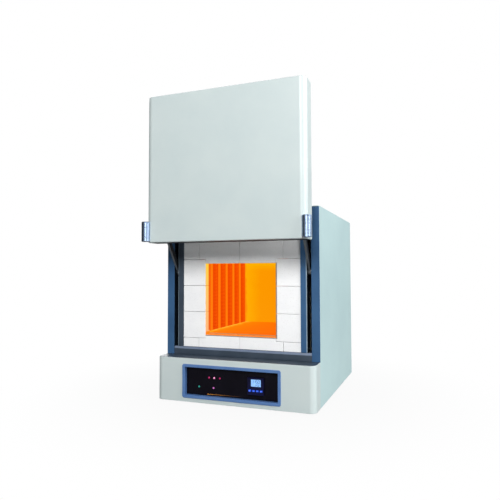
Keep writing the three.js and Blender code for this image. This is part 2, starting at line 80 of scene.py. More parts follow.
camera = {"place": (0.5501, -1.5658, 0.3834), "turn": 20.654, "rise": 2.624, "roll": -0.158, "lens": 35.54}
floor = {"half": 7.0, "colour": "8C8E8E", "plain": 0.15, "white": 0.85, "lift": 0.93}
lights = [
    # name, place, aimed at, width, height, power, colour
    ("wideFront", (0.7, -3.4, 2.1), (0.0, -0.1, 0.45), 1.6, 1.6, 112, "FFFFFF"),
    ("rightFront", (2.5, -0.7, 1.5), (0.2, -0.1, 0.6), 1.2, 1.8, 50, "FFFFFF"),
    ("rightBack", (2.3, 1.4, 1.8), (0.2, 0.2, 0.5), 1.5, 1.8, 34, "FBFFFF"),
    ("leftBack", (-1.9, 2.9, 1.6), (-0.1, 0.3, 0.4), 1.8, 1.8, 46, "FFFFFF"),
]
world = {"left": "44494D", "right": "F4FAFF", "strength": 0.2}


def makeCamera():
    data = bpy.data.cameras.new("camera")
    data.lens = camera["lens"]
    data.sensor_width = 36
    piece = bpy.data.objects.new("camera", data)
    turn = Matrix.Rotation(math.radians(camera["turn"]), 4, "Z")
    rise = Matrix.Rotation(math.radians(90 + camera["rise"]), 4, "X")
    roll = Matrix.Rotation(math.radians(camera["roll"]), 4, "Z")
    piece.matrix_world = Matrix.Translation(camera["place"]) @ turn @ rise @ roll
    bpy.context.scene.collection.objects.link(piece)
    bpy.context.scene.camera = piece


def makeLights():
    for name, place, aim, width, height, power, colour in lights:
        data = bpy.data.lights.new(name, "AREA")
        data.shape = "RECTANGLE"
        data.size = width
        data.size_y = height
        data.energy = power
        data.color = linear(colour)[:3]
        piece = bpy.data.objects.new(name, data)
        piece.location = place
        piece.rotation_euler = (Vector(aim) - Vector(place)).to_track_quat("-Z", "Y").to_euler()
        bpy.context.scene.collection.objects.link(piece)


def makeWorld():
    room = bpy.data.worlds.new("studio")
    bpy.context.scene.world = room
    room.use_nodes = True
    tree = room.node_tree
    tree.nodes.clear()
    direction = addNode(tree, "ShaderNodeTexCoord").outputs["Generated"]
    across = addNode(tree, "ShaderNodeSeparateXYZ", {}, {"Vector": direction})
    spread = addNode(tree, "ShaderNodeMapRange", {}, {"Value": across.outputs["X"], "From Min": -1, "From Max": 1})
    shade = addNode(tree, "ShaderNodeValToRGB", {"stops": [(0.0, world["left"]), (0.75, world["right"])]},
                    {"Fac": spread.outputs["Result"]})
    walls = addNode(tree, "ShaderNodeBackground", {}, {"Color": shade.outputs["Color"], "Strength": world["strength"]})
    backdrop = addNode(tree, "ShaderNodeBackground", {}, {"Color": (1, 1, 1, 1), "Strength": 1})
    seen = addNode(tree, "ShaderNodeLightPath").outputs["Is Camera Ray"]
    mixed = addNode(tree, "ShaderNodeMixShader", {}, {0: seen, 1: walls.outputs[0], 2: backdrop.outputs[0]})
    addNode(tree, "ShaderNodeOutputWorld", {}, {"Surface": mixed.outputs[0]})


def makeFloor():
    half = floor["half"]
    mesh = bpy.data.meshes.new("floor")
    mesh.from_pydata([(-half, -half, 0), (half, -half, 0), (half, half, 0), (-half, half, 0)], [], [(0, 1, 2, 3)])
    material = bpy.data.materials.new("paintedStudioFloor")  # pale matt paint that runs out into plain white
    material.use_nodes = True
    tree = material.node_tree
    shader = tree.nodes["Principled BSDF"]
    shader.inputs["Roughness"].default_value = 0.9
    shader.inputs["Base Color"].default_value = linear(floor["colour"])
    place = addNode(tree, "ShaderNodeTexCoord").outputs["Object"]
    away = addNode(tree, "ShaderNodeVectorMath", {"operation": "LENGTH"}, {0: place}).outputs["Value"]
    fade = addNode(tree, "ShaderNodeMapRange", {"interpolation_type": "SMOOTHSTEP"}, {
        "Value": away, "From Min": floor["plain"], "From Max": floor["white"], "To Min": floor["lift"], "To Max": 1.0})
    seen = addNode(tree, "ShaderNodeLightPath").outputs["Is Camera Ray"]
    share = addNode(tree, "ShaderNodeMath", {"operation": "MULTIPLY"}, {0: fade.outputs["Result"], 1: seen})
    plain = addNode(tree, "ShaderNodeEmission", {}, {"Color": (1, 1, 1, 1), "Strength": 1})
    mixed = addNode(tree, "ShaderNodeMixShader", {}, {0: share.outputs[0], 1: shader.outputs[0], 2: plain.outputs[0]})
    tree.links.new(mixed.outputs[0], tree.nodes["Material Output"].inputs["Surface"])
    mesh.materials.append(material)
    piece = bpy.data.objects.new("floor", mesh)
    bpy.context.scene.collection.objects.link(piece)


makeCamera()
makeLights()
makeWorld()
makeFloor()
bpy.context.scene.view_settings.view_transform = "Standard"
print("camera, light and floor are in place")


# materials

def startFinish(name, recipe):
    # A finish with patches of a second tint, uneven roughness and a fine grain, all at real sizes.
    material = bpy.data.materials.new(name)
    material.use_nodes = True
    tree = material.node_tree
    shader = tree.nodes["Principled BSDF"]
    place = addNode(tree, "ShaderNodeTexCoord").outputs["Object"]
    patches = addNode(tree, "ShaderNodeTexNoise", {}, {
        "Vector": place, "Scale": 1000 / recipe["patch"], "Detail": 5.0, "Roughness": 0.6})
    colour = addNode(tree, "ShaderNodeValToRGB", {
        "stops": [(0.36, recipe["tint"]), (0.62, recipe["colour"])]}, {"Fac": patches.outputs["Fac"]})
    grain = addNode(tree, "ShaderNodeTexNoise", {}, {
        "Vector": place, "Scale": 1000 / recipe["grain"], "Detail": 3.0, "Roughness": 0.55})
    low, high = recipe["roughness"]
    rough = addNode(tree, "ShaderNodeMapRange", {}, {
        "Value": grain.outputs["Fac"], "From Min": 0.3, "From Max": 0.7, "To Min": low, "To Max": high})
    bump = addNode(tree, "ShaderNodeBump", {}, {
        "Strength": recipe["relief"], "Distance": recipe["depth"] / 1000, "Height": grain.outputs["Fac"]})
    tree.links.new(colour.outputs["Color"], shader.inputs["Base Color"])
    tree.links.new(rough.outputs["Result"], shader.inputs["Roughness"])
    tree.links.new(bump.outputs["Normal"], shader.inputs["Normal"])
    for socket, value in recipe.get("sockets", {}).items():
        shader.inputs[socket].default_value = value
    return material, tree, shader, place, colour, bump


finishes = {
    # polyester powder coat, baked: an even satin skin with a faint orange peel
    "powderCoatLight": {"colour": "CBD6D5", "tint": "C6D2D2", "patch": 160, "grain": 1.6, "depth": 0.05,
                        "relief": 0.12, "roughness": (0.3, 0.38)},
    # the same coat on the casing sides, a cooler batch
    "powderCoatCool": {"colour": "BFD8D9", "tint": "B9D2D4", "patch": 220, "grain": 1.6, "depth": 0.05,
                       "relief": 0.12, "roughness": (0.33, 0.42)},
    # blue powder coat on folded posts
    "powderCoatBlue": {"colour": "3A6088", "tint": "34587F", "patch": 90, "grain": 1.4, "depth": 0.05,
                       "relief": 0.14, "roughness": (0.34, 0.44), "sockets": {"Specular IOR Level": 0.3}},
    # painted shade: the same coat darkened to near black on the insides of the slots and on the door's underside,
    # standing in for the shade that falls there
    "powderCoatPaintedShade": {"colour": "1C2630", "tint": "141C24", "patch": 30, "grain": 1.0, "depth": 0.05,
                        "relief": 0.2, "roughness": (0.45, 0.6), "sockets": {"Specular IOR Level": 0.2}},
    # painted highlight: the same coat pale on the rounded slot edge of each inner post, standing in for the light that
    # edge catches
    "powderCoatPaintedHighlight": {"colour": "8FA2B0", "tint": "7F93A2", "patch": 12, "grain": 0.8, "depth": 0.05,
                       "relief": 0.2, "roughness": (0.36, 0.5)},
    # slate powder coat, slightly coarse, on the ledge and the sill
    "powderCoatSlate": {"colour": "3C4856", "tint": "34404D", "patch": 70, "grain": 1.2, "depth": 0.06,
                        "relief": 0.2, "roughness": (0.34, 0.46)},
    # painted sheen: the slate coat made lighter on the sill's sloping nose, standing in for the light that face catches
    # from above
    "powderCoatPaintedSheen": {"colour": "77859C", "tint": "6B7990", "patch": 70, "grain": 1.2, "depth": 0.06,
                       "relief": 0.2, "roughness": (0.34, 0.46)},
    # painted shade: the flats of the arms in near-black steel, satin and a little cloudy, standing in for the shade
    # inside the slots
    "steelPaintedShade": {"colour": "202327", "tint": "17191C", "patch": 14, "grain": 0.8, "depth": 0.03,
                        "relief": 0.2, "roughness": (0.4, 0.55), "sockets": {"Specular IOR Level": 0.3}},
    # ground edges and pins, bare cold rolled steel: grey with fine scratches
    "groundSteel": {"colour": "8C9196", "tint": "7A7F84", "patch": 18, "grain": 0.8, "depth": 0.03,
                    "relief": 0.2, "roughness": (0.28, 0.42), "sockets": {"Metallic": 1.0}},
    # turned and clear anodised grip: blueish satin metal
    "anodisedAluminium": {"colour": "9FB2CC", "tint": "8EA2BE", "patch": 20, "grain": 0.9, "depth": 0.01,
                          "relief": 0.03, "roughness": (0.36, 0.4), "sockets": {"Metallic": 1.0}},
    # sawn and extruded heat sink
    "extrudedAluminium": {"colour": "B3B6B9", "tint": "A2A6AA", "patch": 14, "grain": 0.9, "depth": 0.03,
                          "relief": 0.2, "roughness": (0.32, 0.46), "sockets": {"Metallic": 1.0}},
    # zinc plated pan-head screws
    "zincPlate": {"colour": "C4C8CC", "tint": "AEB3B8", "patch": 3, "grain": 0.6, "depth": 0.02,
                  "relief": 0.15, "roughness": (0.22, 0.36), "sockets": {"Metallic": 1.0}},
    # injection moulded ABS frame round the panel, light satin
    "mouldedBlue": {"colour": "5A7EB4", "tint": "5276AC", "patch": 40, "grain": 0.7, "depth": 0.03,
                    "relief": 0.12, "roughness": (0.24, 0.34)},
    # moulded instrument case, nearly black with a blue cast
    "mouldedInk": {"colour": "101038", "tint": "0D0D2E", "patch": 20, "grain": 0.5, "depth": 0.03,
                   "relief": 0.15, "roughness": (0.3, 0.44), "sockets": {"Specular IOR Level": 0.2}},
    # back-painted acrylic plate: deep black under a clear gloss
    "glossAcrylic": {"colour": "100E17", "tint": "0C0A12", "patch": 60, "grain": 6.0, "depth": 0.02,
                     "relief": 0.05, "roughness": (0.08, 0.14), "sockets": {"Specular IOR Level": 0.12}},
    # moulded black nylon of the mains inlet
    "mouldedNylon": {"colour": "1C1D20", "tint": "16171A", "patch": 12, "grain": 0.5, "depth": 0.04,
                     "relief": 0.3, "roughness": (0.42, 0.58)},
    # pressed nitrile rubber feet, dusty black
    "pressedRubber": {"colour": "242426", "tint": "1A1A1C", "patch": 6, "grain": 0.7, "depth": 0.08,
                      "relief": 0.4, "roughness": (0.75, 0.92)},
    # fired alumina tube, smooth and cream
    "firedAlumina": {"colour": "EDE6D8", "tint": "E2D9C8", "patch": 9, "grain": 0.8, "depth": 0.05,
                     "relief": 0.25, "roughness": (0.5, 0.66)},
    # silicone keys, backlit blue
    "siliconeKey": {"colour": "2C5CE6", "tint": "2450D0", "patch": 4, "grain": 0.5, "depth": 0.03,
                    "relief": 0.15, "roughness": (0.35, 0.5),
                    "sockets": {"Emission Color": linear("1E50E0"), "Emission Strength": 0.35}},
    # solder-resist circuit board behind the plate
    "circuitBoard": {"colour": "1E5A3A", "tint": "174A2F", "patch": 8, "grain": 0.6, "depth": 0.03,
                     "relief": 0.2, "roughness": (0.3, 0.45)},
    # screen printed marks, matt ink
    "printedInk": {"colour": "C3D6F2", "tint": "B4C8E6", "patch": 4, "grain": 0.5, "depth": 0.02,
                   "relief": 0.1, "roughness": (0.5, 0.6),
                   "sockets": {"Emission Color": linear("9CC0FF"), "Emission Strength": 0.25}},
    # dark liquid crystal segments
    "crystalSegment": {"colour": "2C4F92", "tint": "264786", "patch": 4, "grain": 0.5, "depth": 0.02,
                       "relief": 0.1, "roughness": (0.3, 0.4)},
}
lenses = {  # diffused LED lenses, cast epoxy, each lit faintly from inside
    "ledRose": ("A81C5A", 0.4), "ledPink": ("E08AB8", 0.8), "ledGreen": ("2A8C80", 0.6), "ledViolet": ("B060A8", 0.6),
}
made = {}
for finishName, finishRecipe in finishes.items():
    made[finishName] = startFinish(finishName, finishRecipe)[0]
for lensName, (lensColour, glow) in lenses.items():
    lensRecipe = {"colour": lensColour, "tint": lensColour, "patch": 2, "grain": 0.4, "depth": 0.02,
                  "relief": 0.08, "roughness": (0.12, 0.2),
                  "sockets": {"Emission Color": linear(lensColour), "Emission Strength": glow}}
    made[lensName] = startFinish(lensName, lensRecipe)[0]


def makeZincSheet():
    # hot-dip galvanised sheet: zinc spangles of about 9 mm in slightly different greys
    recipe = {"colour": "AEB3B6", "tint": "9DA2A6", "patch": 50, "grain": 1.0, "depth": 0.03, "relief": 0.15,
              "roughness": (0.34, 0.5), "sockets": {"Metallic": 0.9}}
    material, tree, shader, place, colour, bump = startFinish("galvanisedSheet", recipe)
    spangle = addNode(tree, "ShaderNodeTexVoronoi", {}, {"Vector": place, "Scale": 1000 / 9, "Randomness": 1.0})
    grey = addNode(tree, "ShaderNodeSeparateColor", {}, {"Color": spangle.outputs["Color"]})
    tone = addNode(tree, "ShaderNodeValToRGB", {"stops": [(0.0, "BFC4C7"), (1.0, "FFFFFF")]},
                   {"Fac": grey.outputs["Red"]})
    mixed = addNode(tree, "ShaderNodeMix", {"data_type": "RGBA", "blend_type": "MULTIPLY"},
                    {0: 1.0, 6: colour.outputs["Color"], 7: tone.outputs["Color"]})
    tree.links.new(mixed.outputs[2], shader.inputs["Base Color"])
    made["galvanisedSheet"] = material


def makeBrick():
    # insulating firebrick, cut and rubbed flat: chalk white, matt, open pores of 1 to 3 mm,
    # darkened to brown on the front face in a band of one to four millimetres round the mouth, widest on the right and
    # faint on the left
    recipe = {"colour": "FCFCFC", "tint": "F8F8F9", "patch": 34, "grain": 1.4, "depth": 0.25, "relief": 0.22,
              "roughness": (0.88, 0.98), "sockets": {"Specular IOR Level": 0.2}}
    material, tree, shader, place, colour, bump = startFinish("insulatingFirebrick", recipe)
    pores = addNode(tree, "ShaderNodeTexVoronoi", {"feature": "F1"}, {"Vector": place, "Scale": 1000 / 5.5})
    hole = addNode(tree, "ShaderNodeMapRange", {}, {
        "Value": pores.outputs["Distance"], "From Min": 0.08, "From Max": 0.22, "To Min": 0.0, "To Max": 1.0})
    pit = addNode(tree, "ShaderNodeBump", {}, {
        "Strength": 0.25, "Distance": 0.0005, "Height": hole.outputs["Result"], "Normal": bump.outputs["Normal"]})
    dusk = addNode(tree, "ShaderNodeMix", {"data_type": "RGBA", "blend_type": "MULTIPLY"},
                   {0: 1.0, 6: colour.outputs["Color"]})
    shade = addNode(tree, "ShaderNodeValToRGB", {"stops": [(0.0, "F1F0EE"), (1.0, "FFFFFF")]},
                    {"Fac": hole.outputs["Result"]})
    tree.links.new(shade.outputs["Color"], dusk.inputs[7])
    middle = at(0, 62, 303)
    moved = addNode(tree, "ShaderNodeVectorMath", {"operation": "SUBTRACT"}, {0: place, 1: middle})
    away = addNode(tree, "ShaderNodeVectorMath", {"operation": "ABSOLUTE"}, {0: moved.outputs[0]})
    beyond = addNode(tree, "ShaderNodeVectorMath", {"operation": "SUBTRACT"}, {0: away.outputs[0], 1: (0.113, 0, 0.1085)})
    parts = addNode(tree, "ShaderNodeSeparateXYZ", {}, {0: beyond.outputs[0]})
    edge = addNode(tree, "ShaderNodeMath", {"operation": "MAXIMUM"}, {0: parts.outputs["X"], 1: parts.outputs["Z"]})
    # a brown band round the mouth's edge on the front face, widest on the right
    drift = addNode(tree, "ShaderNodeVectorMath", {"operation": "SUBTRACT"}, {0: place, 1: at(2, 62, 302)})
    drifted = addNode(tree, "ShaderNodeVectorMath", {"operation": "ABSOLUTE"}, {0: drift.outputs[0]})
    past = addNode(tree, "ShaderNodeVectorMath", {"operation": "SUBTRACT"}, {0: drifted.outputs[0], 1: (0.113, 0, 0.1085)})
    ends = addNode(tree, "ShaderNodeSeparateXYZ", {}, {0: past.outputs[0]})
    band = addNode(tree, "ShaderNodeMath", {"operation": "MAXIMUM"}, {0: ends.outputs["X"], 1: ends.outputs["Z"]})
    near = addNode(tree, "ShaderNodeMapRange", {}, {
        "Value": band.outputs[0], "From Min": 0.0008, "From Max": 0.0024, "To Min": 0.85, "To Max": 0.0})
    spot = addNode(tree, "ShaderNodeSeparateXYZ", {}, {0: place})
    outer = addNode(tree, "ShaderNodeMapRange", {}, {
        "Value": spot.outputs["Y"], "From Min": at(0, 62.6, 0).y, "From Max": at(0, 63.4, 0).y,
        "To Min": 1.0, "To Max": 0.0})
    mouthRimBand = addNode(tree, "ShaderNodeMath", {"operation": "MULTIPLY"}, {
        0: near.outputs["Result"], 1: outer.outputs["Result"]})
    browned = addNode(tree, "ShaderNodeMix", {"data_type": "RGBA"}, {
        0: mouthRimBand.outputs[0], 6: dusk.outputs[2], 7: linear("6E5A48")})
    tree.links.new(browned.outputs[2], shader.inputs["Base Color"])
    # painted light: the sides of the mouth are given their own light, yellow above and peach below, standing in for the
    # chamber's glow falling on them
    within = addNode(tree, "ShaderNodeMapRange", {}, {
        "Value": edge.outputs[0], "From Min": 0.003, "From Max": 0.0034, "To Min": 1.0, "To Max": 0.0})
    deep = addNode(tree, "ShaderNodeMapRange", {}, {
        "Value": spot.outputs["Y"], "From Min": at(0, 62.8, 0).y, "From Max": at(0, 66, 0).y})
    lit = addNode(tree, "ShaderNodeMath", {"operation": "MULTIPLY"}, {
        0: within.outputs["Result"], 1: deep.outputs["Result"]})
    height = addNode(tree, "ShaderNodeMapRange", {}, {
        "Value": spot.outputs["Z"], "From Min": 0.19, "From Max": 0.412})
    warm = addNode(tree, "ShaderNodeValToRGB", {
        "stops": [(0.056, "FF8614"), (0.066, "FFB478"), (0.4, "FFC070"), (1.0, "FFD040")]},
        {"Fac": height.outputs["Result"]})
    # painted shade: the back of each side face is given a darker red, like the wall behind it
    farther = addNode(tree, "ShaderNodeMapRange", {}, {
        "Value": spot.outputs["Y"], "From Min": at(0, 83, 0).y, "From Max": at(0, 85, 0).y})
    upright = addNode(tree, "ShaderNodeMapRange", {}, {
        "Value": spot.outputs["Z"], "From Min": 0.2055, "From Max": 0.2075, "To Min": 0.0, "To Max": 0.9})
    inner = addNode(tree, "ShaderNodeMath", {"operation": "MULTIPLY"}, {
        0: farther.outputs["Result"], 1: upright.outputs["Result"]})
    shaded = addNode(tree, "ShaderNodeMix", {"data_type": "RGBA"}, {
        0: inner.outputs[0], 6: warm.outputs["Color"], 7: linear("E86000")})
    emittedColour = addNode(tree, "ShaderNodeMix", {"data_type": "RGBA"}, {0: lit.outputs[0], 6: (0, 0, 0, 1), 7: shaded.outputs[2]})
    dimmed = addNode(tree, "ShaderNodeMix", {"data_type": "RGBA"}, {
        0: lit.outputs[0], 6: browned.outputs[2], 7: linear("2A1808")})
    tree.links.new(dimmed.outputs[2], shader.inputs["Base Color"])
    tree.links.new(emittedColour.outputs[2], shader.inputs["Emission Color"])
    shader.inputs["Emission Strength"].default_value = 1.0
    tree.links.new(pit.outputs["Normal"], shader.inputs["Normal"])
    made["insulatingFirebrick"] = material


def makeFibre():
    # vacuum formed ceramic fibre board: off-white felt with short tangled fibres and soft hollows
    recipe = {"colour": "F1EEE6", "tint": "E7E2D6", "patch": 26, "grain": 2.2, "depth": 0.8, "relief": 0.5,
              "roughness": (0.92, 1.0), "sockets": {"Specular IOR Level": 0.15, "Sheen Weight": 0.25}}
    material, tree, shader, place, colour, bump = startFinish("ceramicFibreBoard", recipe)
    stretched = addNode(tree, "ShaderNodeMapping", {}, {"Vector": place, "Scale": (1.0, 1.0, 0.22)})
    strands = addNode(tree, "ShaderNodeTexNoise", {}, {
        "Vector": stretched.outputs[0], "Scale": 1000 / 1.6, "Detail": 4.0, "Distortion": 1.4})
    felt = addNode(tree, "ShaderNodeBump", {}, {
        "Strength": 0.5, "Distance": 0.0004, "Height": strands.outputs["Fac"], "Normal": bump.outputs["Normal"]})
    tree.links.new(felt.outputs["Normal"], shader.inputs["Normal"])
    made["ceramicFibreBoard"] = material
    yarn = {"colour": "EFEADF", "tint": "DDD6C6", "patch": 7, "grain": 0.7, "depth": 0.25, "relief": 0.7,
            "roughness": (0.9, 1.0), "sockets": {"Specular IOR Level": 0.15, "Sheen Weight": 0.4}}
    made["braidedYarn"] = startFinish("braidedYarn", yarn)[0]  # ceramic yarn: matt, fuzzy, cream


coils = {"radius": 9.4, "wire": 1.05, "low": 212.5, "high": 415, "pitch": 4.6, "count": 5, "first": 152, "spacing": 60,
         "x": 125, "linkX": 131, "linkZ": (220, 408)}
hotRoom = {  # the space whose surfaces glow, and how far past its faces the glow reaches
    "middle": (0, 256.1, 311.8), "half": (141.5, 165.4, 113.6), "edge": 0.3,
}
hotFinishes = {
    # name: (cold colour, glow stops across the surface, axis, from mm, to mm, mottle size mm, mottle strength)
    # painted shade: the wall's glow turns a deeper red towards the backs of the grooves
    "glowingFibreWall": ("F0E6D8", [(0.0, "FF8210"), (0.035, "FF7606"), (0.055, "F04C00"), (0.5, "E04000")],
                         "depth", 119.6, 141, 5, 0.015),
    "glowingBackWall": ("F0E6D8", [(0.0, "FF9008"), (0.03, "FFAC04"), (0.1, "FCA600"), (0.25, "FA9800"),
                                   (1.0, "FA9200")], "x", -120, 120, 40, 0.03),
    # painted highlight: the hearth's glow is golden along its left edge
    "glowingHearth": ("C98A58", [(0.0, "FFC43C"), (0.05, "FFA018"), (0.12, "FF8000"), (0.4, "FA7400"),
                                 (1.0, "FA6800")], "x", -119, 119, 14, 0.04),
    # painted shade: the wire's glow turns a deeper red on its back, towards the groove
    "glowingWire": ("6A3420", [(0.0, "FF6400"), (0.3, "F84E00"), (1.0, "DC4000")], "depth", 112, 137, 5, 0.12),
    "glowingSheath": ("EDE6D8", [(0.0, "FFB428"), (1.0, "FFA010")], "x", 54, 70, 9, 0.1),
}


def makeHotFinish(name):
    # refractory at about 1150 degrees: its own light, strongest in the chamber and gone outside it
    cold, stops, axis, start, end, mottle, sway = hotFinishes[name]
    recipe = {"colour": cold, "tint": cold, "patch": mottle, "grain": 1.8, "depth": 0.3, "relief": 0.4,
              "roughness": (0.85, 0.97), "sockets": {"Specular IOR Level": 0.1}}
    material, tree, shader, place, colour, bump = startFinish(name, recipe)
    parts = addNode(tree, "ShaderNodeSeparateXYZ", {}, {0: place})
    along = parts.outputs["X"]
    if axis == "depth":
        along = addNode(tree, "ShaderNodeMath", {"operation": "ABSOLUTE"}, {0: along}).outputs[0]
    if name == "glowingFibreWall":  # the lips of each groove take the groove's painted shade, a deeper red
        steps = addNode(tree, "ShaderNodeMath", {"operation": "SUBTRACT"}, {
            0: parts.outputs["Y"], 1: at(0, coils["first"] - coils["spacing"] / 2, 0).y})
        turned = addNode(tree, "ShaderNodeMath", {"operation": "DIVIDE"}, {0: steps.outputs[0], 1: coils["spacing"] / 1000})
        inTurn = addNode(tree, "ShaderNodeMath", {"operation": "FLOORED_MODULO"}, {0: turned.outputs[0], 1: 1.0})
        offMiddle = addNode(tree, "ShaderNodeMath", {"operation": "SUBTRACT"}, {0: inTurn.outputs[0], 1: 0.5})
        gap = addNode(tree, "ShaderNodeMath", {"operation": "ABSOLUTE"}, {0: offMiddle.outputs[0]})
        lip = addNode(tree, "ShaderNodeMapRange", {}, {
            "Value": gap.outputs[0], "From Min": 0.335, "From Max": 0.355, "To Min": 0.0022, "To Max": 0.0})
        along = addNode(tree, "ShaderNodeMath", {"operation": "ADD"}, {0: along, 1: lip.outputs["Result"]}).outputs[0]
    spread = addNode(tree, "ShaderNodeMapRange", {}, {
        "Value": along, "From Min": start / 1000, "From Max": end / 1000})
    mottled = addNode(tree, "ShaderNodeTexNoise", {}, {"Vector": place, "Scale": 1000 / mottle, "Detail": 4.0})
    wander = addNode(tree, "ShaderNodeMapRange", {}, {
        "Value": mottled.outputs["Fac"], "From Min": 0.3, "From Max": 0.7, "To Min": -sway, "To Max": sway})
    shifted = addNode(tree, "ShaderNodeMath", {"operation": "ADD", "use_clamp": True},
                      {0: spread.outputs["Result"], 1: wander.outputs["Result"]})
    glow = addNode(tree, "ShaderNodeValToRGB", {"stops": stops}, {"Fac": shifted.outputs[0]})
    if name == "glowingBackWall":  # hotter under the roof
        crown = addNode(tree, "ShaderNodeMapRange", {"interpolation_type": "SMOOTHSTEP"}, {
            "Value": parts.outputs["Z"], "From Min": 0.385, "From Max": 0.425, "To Min": 0.0, "To Max": 0.85})
        glow = addNode(tree, "ShaderNodeMix", {"data_type": "RGBA"}, {
            0: crown.outputs["Result"], 6: glow.outputs["Color"], 7: linear("FCB604")})
    moved = addNode(tree, "ShaderNodeVectorMath", {"operation": "SUBTRACT"}, {0: place, 1: at(*hotRoom["middle"])})
    away = addNode(tree, "ShaderNodeVectorMath", {"operation": "ABSOLUTE"}, {0: moved.outputs[0]})
    half = [value / 1000 for value in hotRoom["half"]]
    beyond = addNode(tree, "ShaderNodeVectorMath", {"operation": "SUBTRACT"}, {0: away.outputs[0], 1: half})
    sides = addNode(tree, "ShaderNodeSeparateXYZ", {}, {0: beyond.outputs[0]})
    wide = addNode(tree, "ShaderNodeMath", {"operation": "MAXIMUM"}, {0: sides.outputs["X"], 1: sides.outputs["Y"]})
    outside = addNode(tree, "ShaderNodeMath", {"operation": "MAXIMUM"}, {0: wide.outputs[0], 1: sides.outputs["Z"]})
    inside = addNode(tree, "ShaderNodeMapRange", {}, {
        "Value": outside.outputs[0], "From Min": 0.0, "From Max": hotRoom["edge"] / 1000, "To Min": 1.0, "To Max": 0.0})
    emittedColour = addNode(tree, "ShaderNodeMix", {"data_type": "RGBA"}, {
        0: inside.outputs["Result"], 6: (0, 0, 0, 1), 7: glow.outputs[2 if name == "glowingBackWall" else "Color"]})
    dull = addNode(tree, "ShaderNodeMix", {"data_type": "RGBA"}, {
        0: inside.outputs["Result"], 6: linear(cold), 7: linear("2A1004")})
    tree.links.new(dull.outputs[2], shader.inputs["Base Color"])
    tree.links.new(emittedColour.outputs[2], shader.inputs["Emission Color"])
    shader.inputs["Emission Strength"].default_value = 1.0
    made[name] = material


def makeDisplay():
    # backlit liquid crystal window: pale blue, a little brighter in the middle, under a gloss film
    recipe = {"colour": "9CC8F6", "tint": "8FBEEF", "patch": 12, "grain": 0.5, "depth": 0.01, "relief": 0.05,
              "roughness": (0.12, 0.2), "sockets": {"Coat Weight": 0.3}}
    material, tree, shader, place, colour, bump = startFinish("backlitCrystal", recipe)
    middle = at(71.5, 4, 73.7)
    moved = addNode(tree, "ShaderNodeVectorMath", {"operation": "SUBTRACT"}, {0: place, 1: middle})
    away = addNode(tree, "ShaderNodeVectorMath", {"operation": "LENGTH"}, {0: moved.outputs[0]})
    glow = addNode(tree, "ShaderNodeValToRGB", {"stops": [(0.0, "8CC2FF"), (1.0, "4A8CE6")]}, {
        "Fac": addNode(tree, "ShaderNodeMapRange", {}, {
            "Value": away.outputs["Value"], "From Min": 0.0, "From Max": 0.02}).outputs["Result"]})
    tree.links.new(glow.outputs["Color"], shader.inputs["Emission Color"])
    shader.inputs["Emission Strength"].default_value = 0.35
    made["backlitCrystal"] = material


makeZincSheet()
makeBrick()
makeFibre()
for hotName in hotFinishes:
    makeHotFinish(hotName)
makeDisplay()
print("materials are made:", len(made))


# shape helpers

def circle(centre, axis, radius, sides):
    # a ring of points round an axis through a centre, all in millimetres
    first, second = {"x": ((0, 1, 0), (0, 0, 1)), "y": ((1, 0, 0), (0, 0, 1)), "z": ((1, 0, 0), (0, 1, 0))}[axis]
    steps = [2 * math.pi * i / sides for i in range(sides)]
    return [tuple(centre[k] + radius * (math.cos(a) * first[k] + math.sin(a) * second[k]) for k in range(3)) for a in steps]


def loft(shape, rings, loop=False, finish=0):
    # closed rings of points joined in order; the ends are capped unless the rings close on themselves
    levels = [[shape.verts.new(at(*point)) for point in ring] for ring in rings]
    count = len(levels[0])
    pairs = list(zip(levels, levels[1:])) + ([(levels[-1], levels[0])] if loop else [])
    faces = []
    for low, high in pairs:
        for i in range(count):
            j = (i + 1) % count
            faces.append(shape.faces.new((low[i], low[j], high[j], high[i])))
    if not loop:
        faces.append(shape.faces.new(levels[0][::-1]))
        faces.append(shape.faces.new(levels[-1]))
    for face in faces:
        face.material_index = finish


def tube(shape, points, radius, sides=8, loop=False, finish=0):
    # a round tube that follows points, given in millimetres
    path = [Vector(point) for point in points]
    count = len(path)
    rings = []
    side = None
    for i, point in enumerate(path):
        before = path[i - 1] if loop or i else path[i]
        after = path[(i + 1) % count] if loop or i < count - 1 else path[i]
        ahead = (after - before).normalized()
        if side is None:
            side = ahead.orthogonal().normalized()
        side = (side - ahead * side.dot(ahead)).normalized()
        up = ahead.cross(side)
        turns = [2 * math.pi * k / sides for k in range(sides)]
        rings.append([tuple(point + radius * (math.cos(a) * side + math.sin(a) * up)) for a in turns])
    loft(shape, rings, loop, finish)


def bevelEdges(shape, radius, chosen, segments=3, sharper=35):
    edges = []
    for edge in shape.edges:
        if edge.is_manifold and math.degrees(edge.calc_face_angle(0)) > sharper and chosen(edge):
            edges.append(edge)
    bmesh.ops.bevel(shape, geom=edges, offset=radius / 1000, segments=segments, profile=0.5,
                    affect="EDGES", clamp_overlap=True)


def everyEdge(edge):
    return True


def plainMesh(piece):
    # the evaluated mesh, with its modifiers gone
    depsgraph = bpy.context.evaluated_depsgraph_get()
    mesh = bpy.data.meshes.new_from_object(piece.evaluated_get(depsgraph))
    piece.modifiers.clear()
    piece.data = mesh
    return piece


def finishPiece(shape, name, body, materials, replaced=(), sharp=38):
    # a bmesh becomes a named object that rides on its body and stands for CAD nodes
    mesh = bpy.data.meshes.new(name)
    shape.normal_update()
    shape.to_mesh(mesh)
    shape.free()
    for material in materials:
        mesh.materials.append(made[material])
    mesh.polygons.foreach_set("use_smooth", [True] * len(mesh.polygons))
    mesh.set_sharp_from_angle(angle=math.radians(sharp))
    piece = bpy.data.objects.new(name, mesh)
    bpy.context.scene.collection.objects.link(piece)
    weighted = piece.modifiers.new("weightedNormals", "WEIGHTED_NORMAL")
    weighted.keep_sharp = True
    plainMesh(piece)
    return tieDown(piece, body, replaced)


def tieDown(piece, body, replaced=()):
    if replaced:
        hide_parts(*replaced)
    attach(piece, body)
    return piece


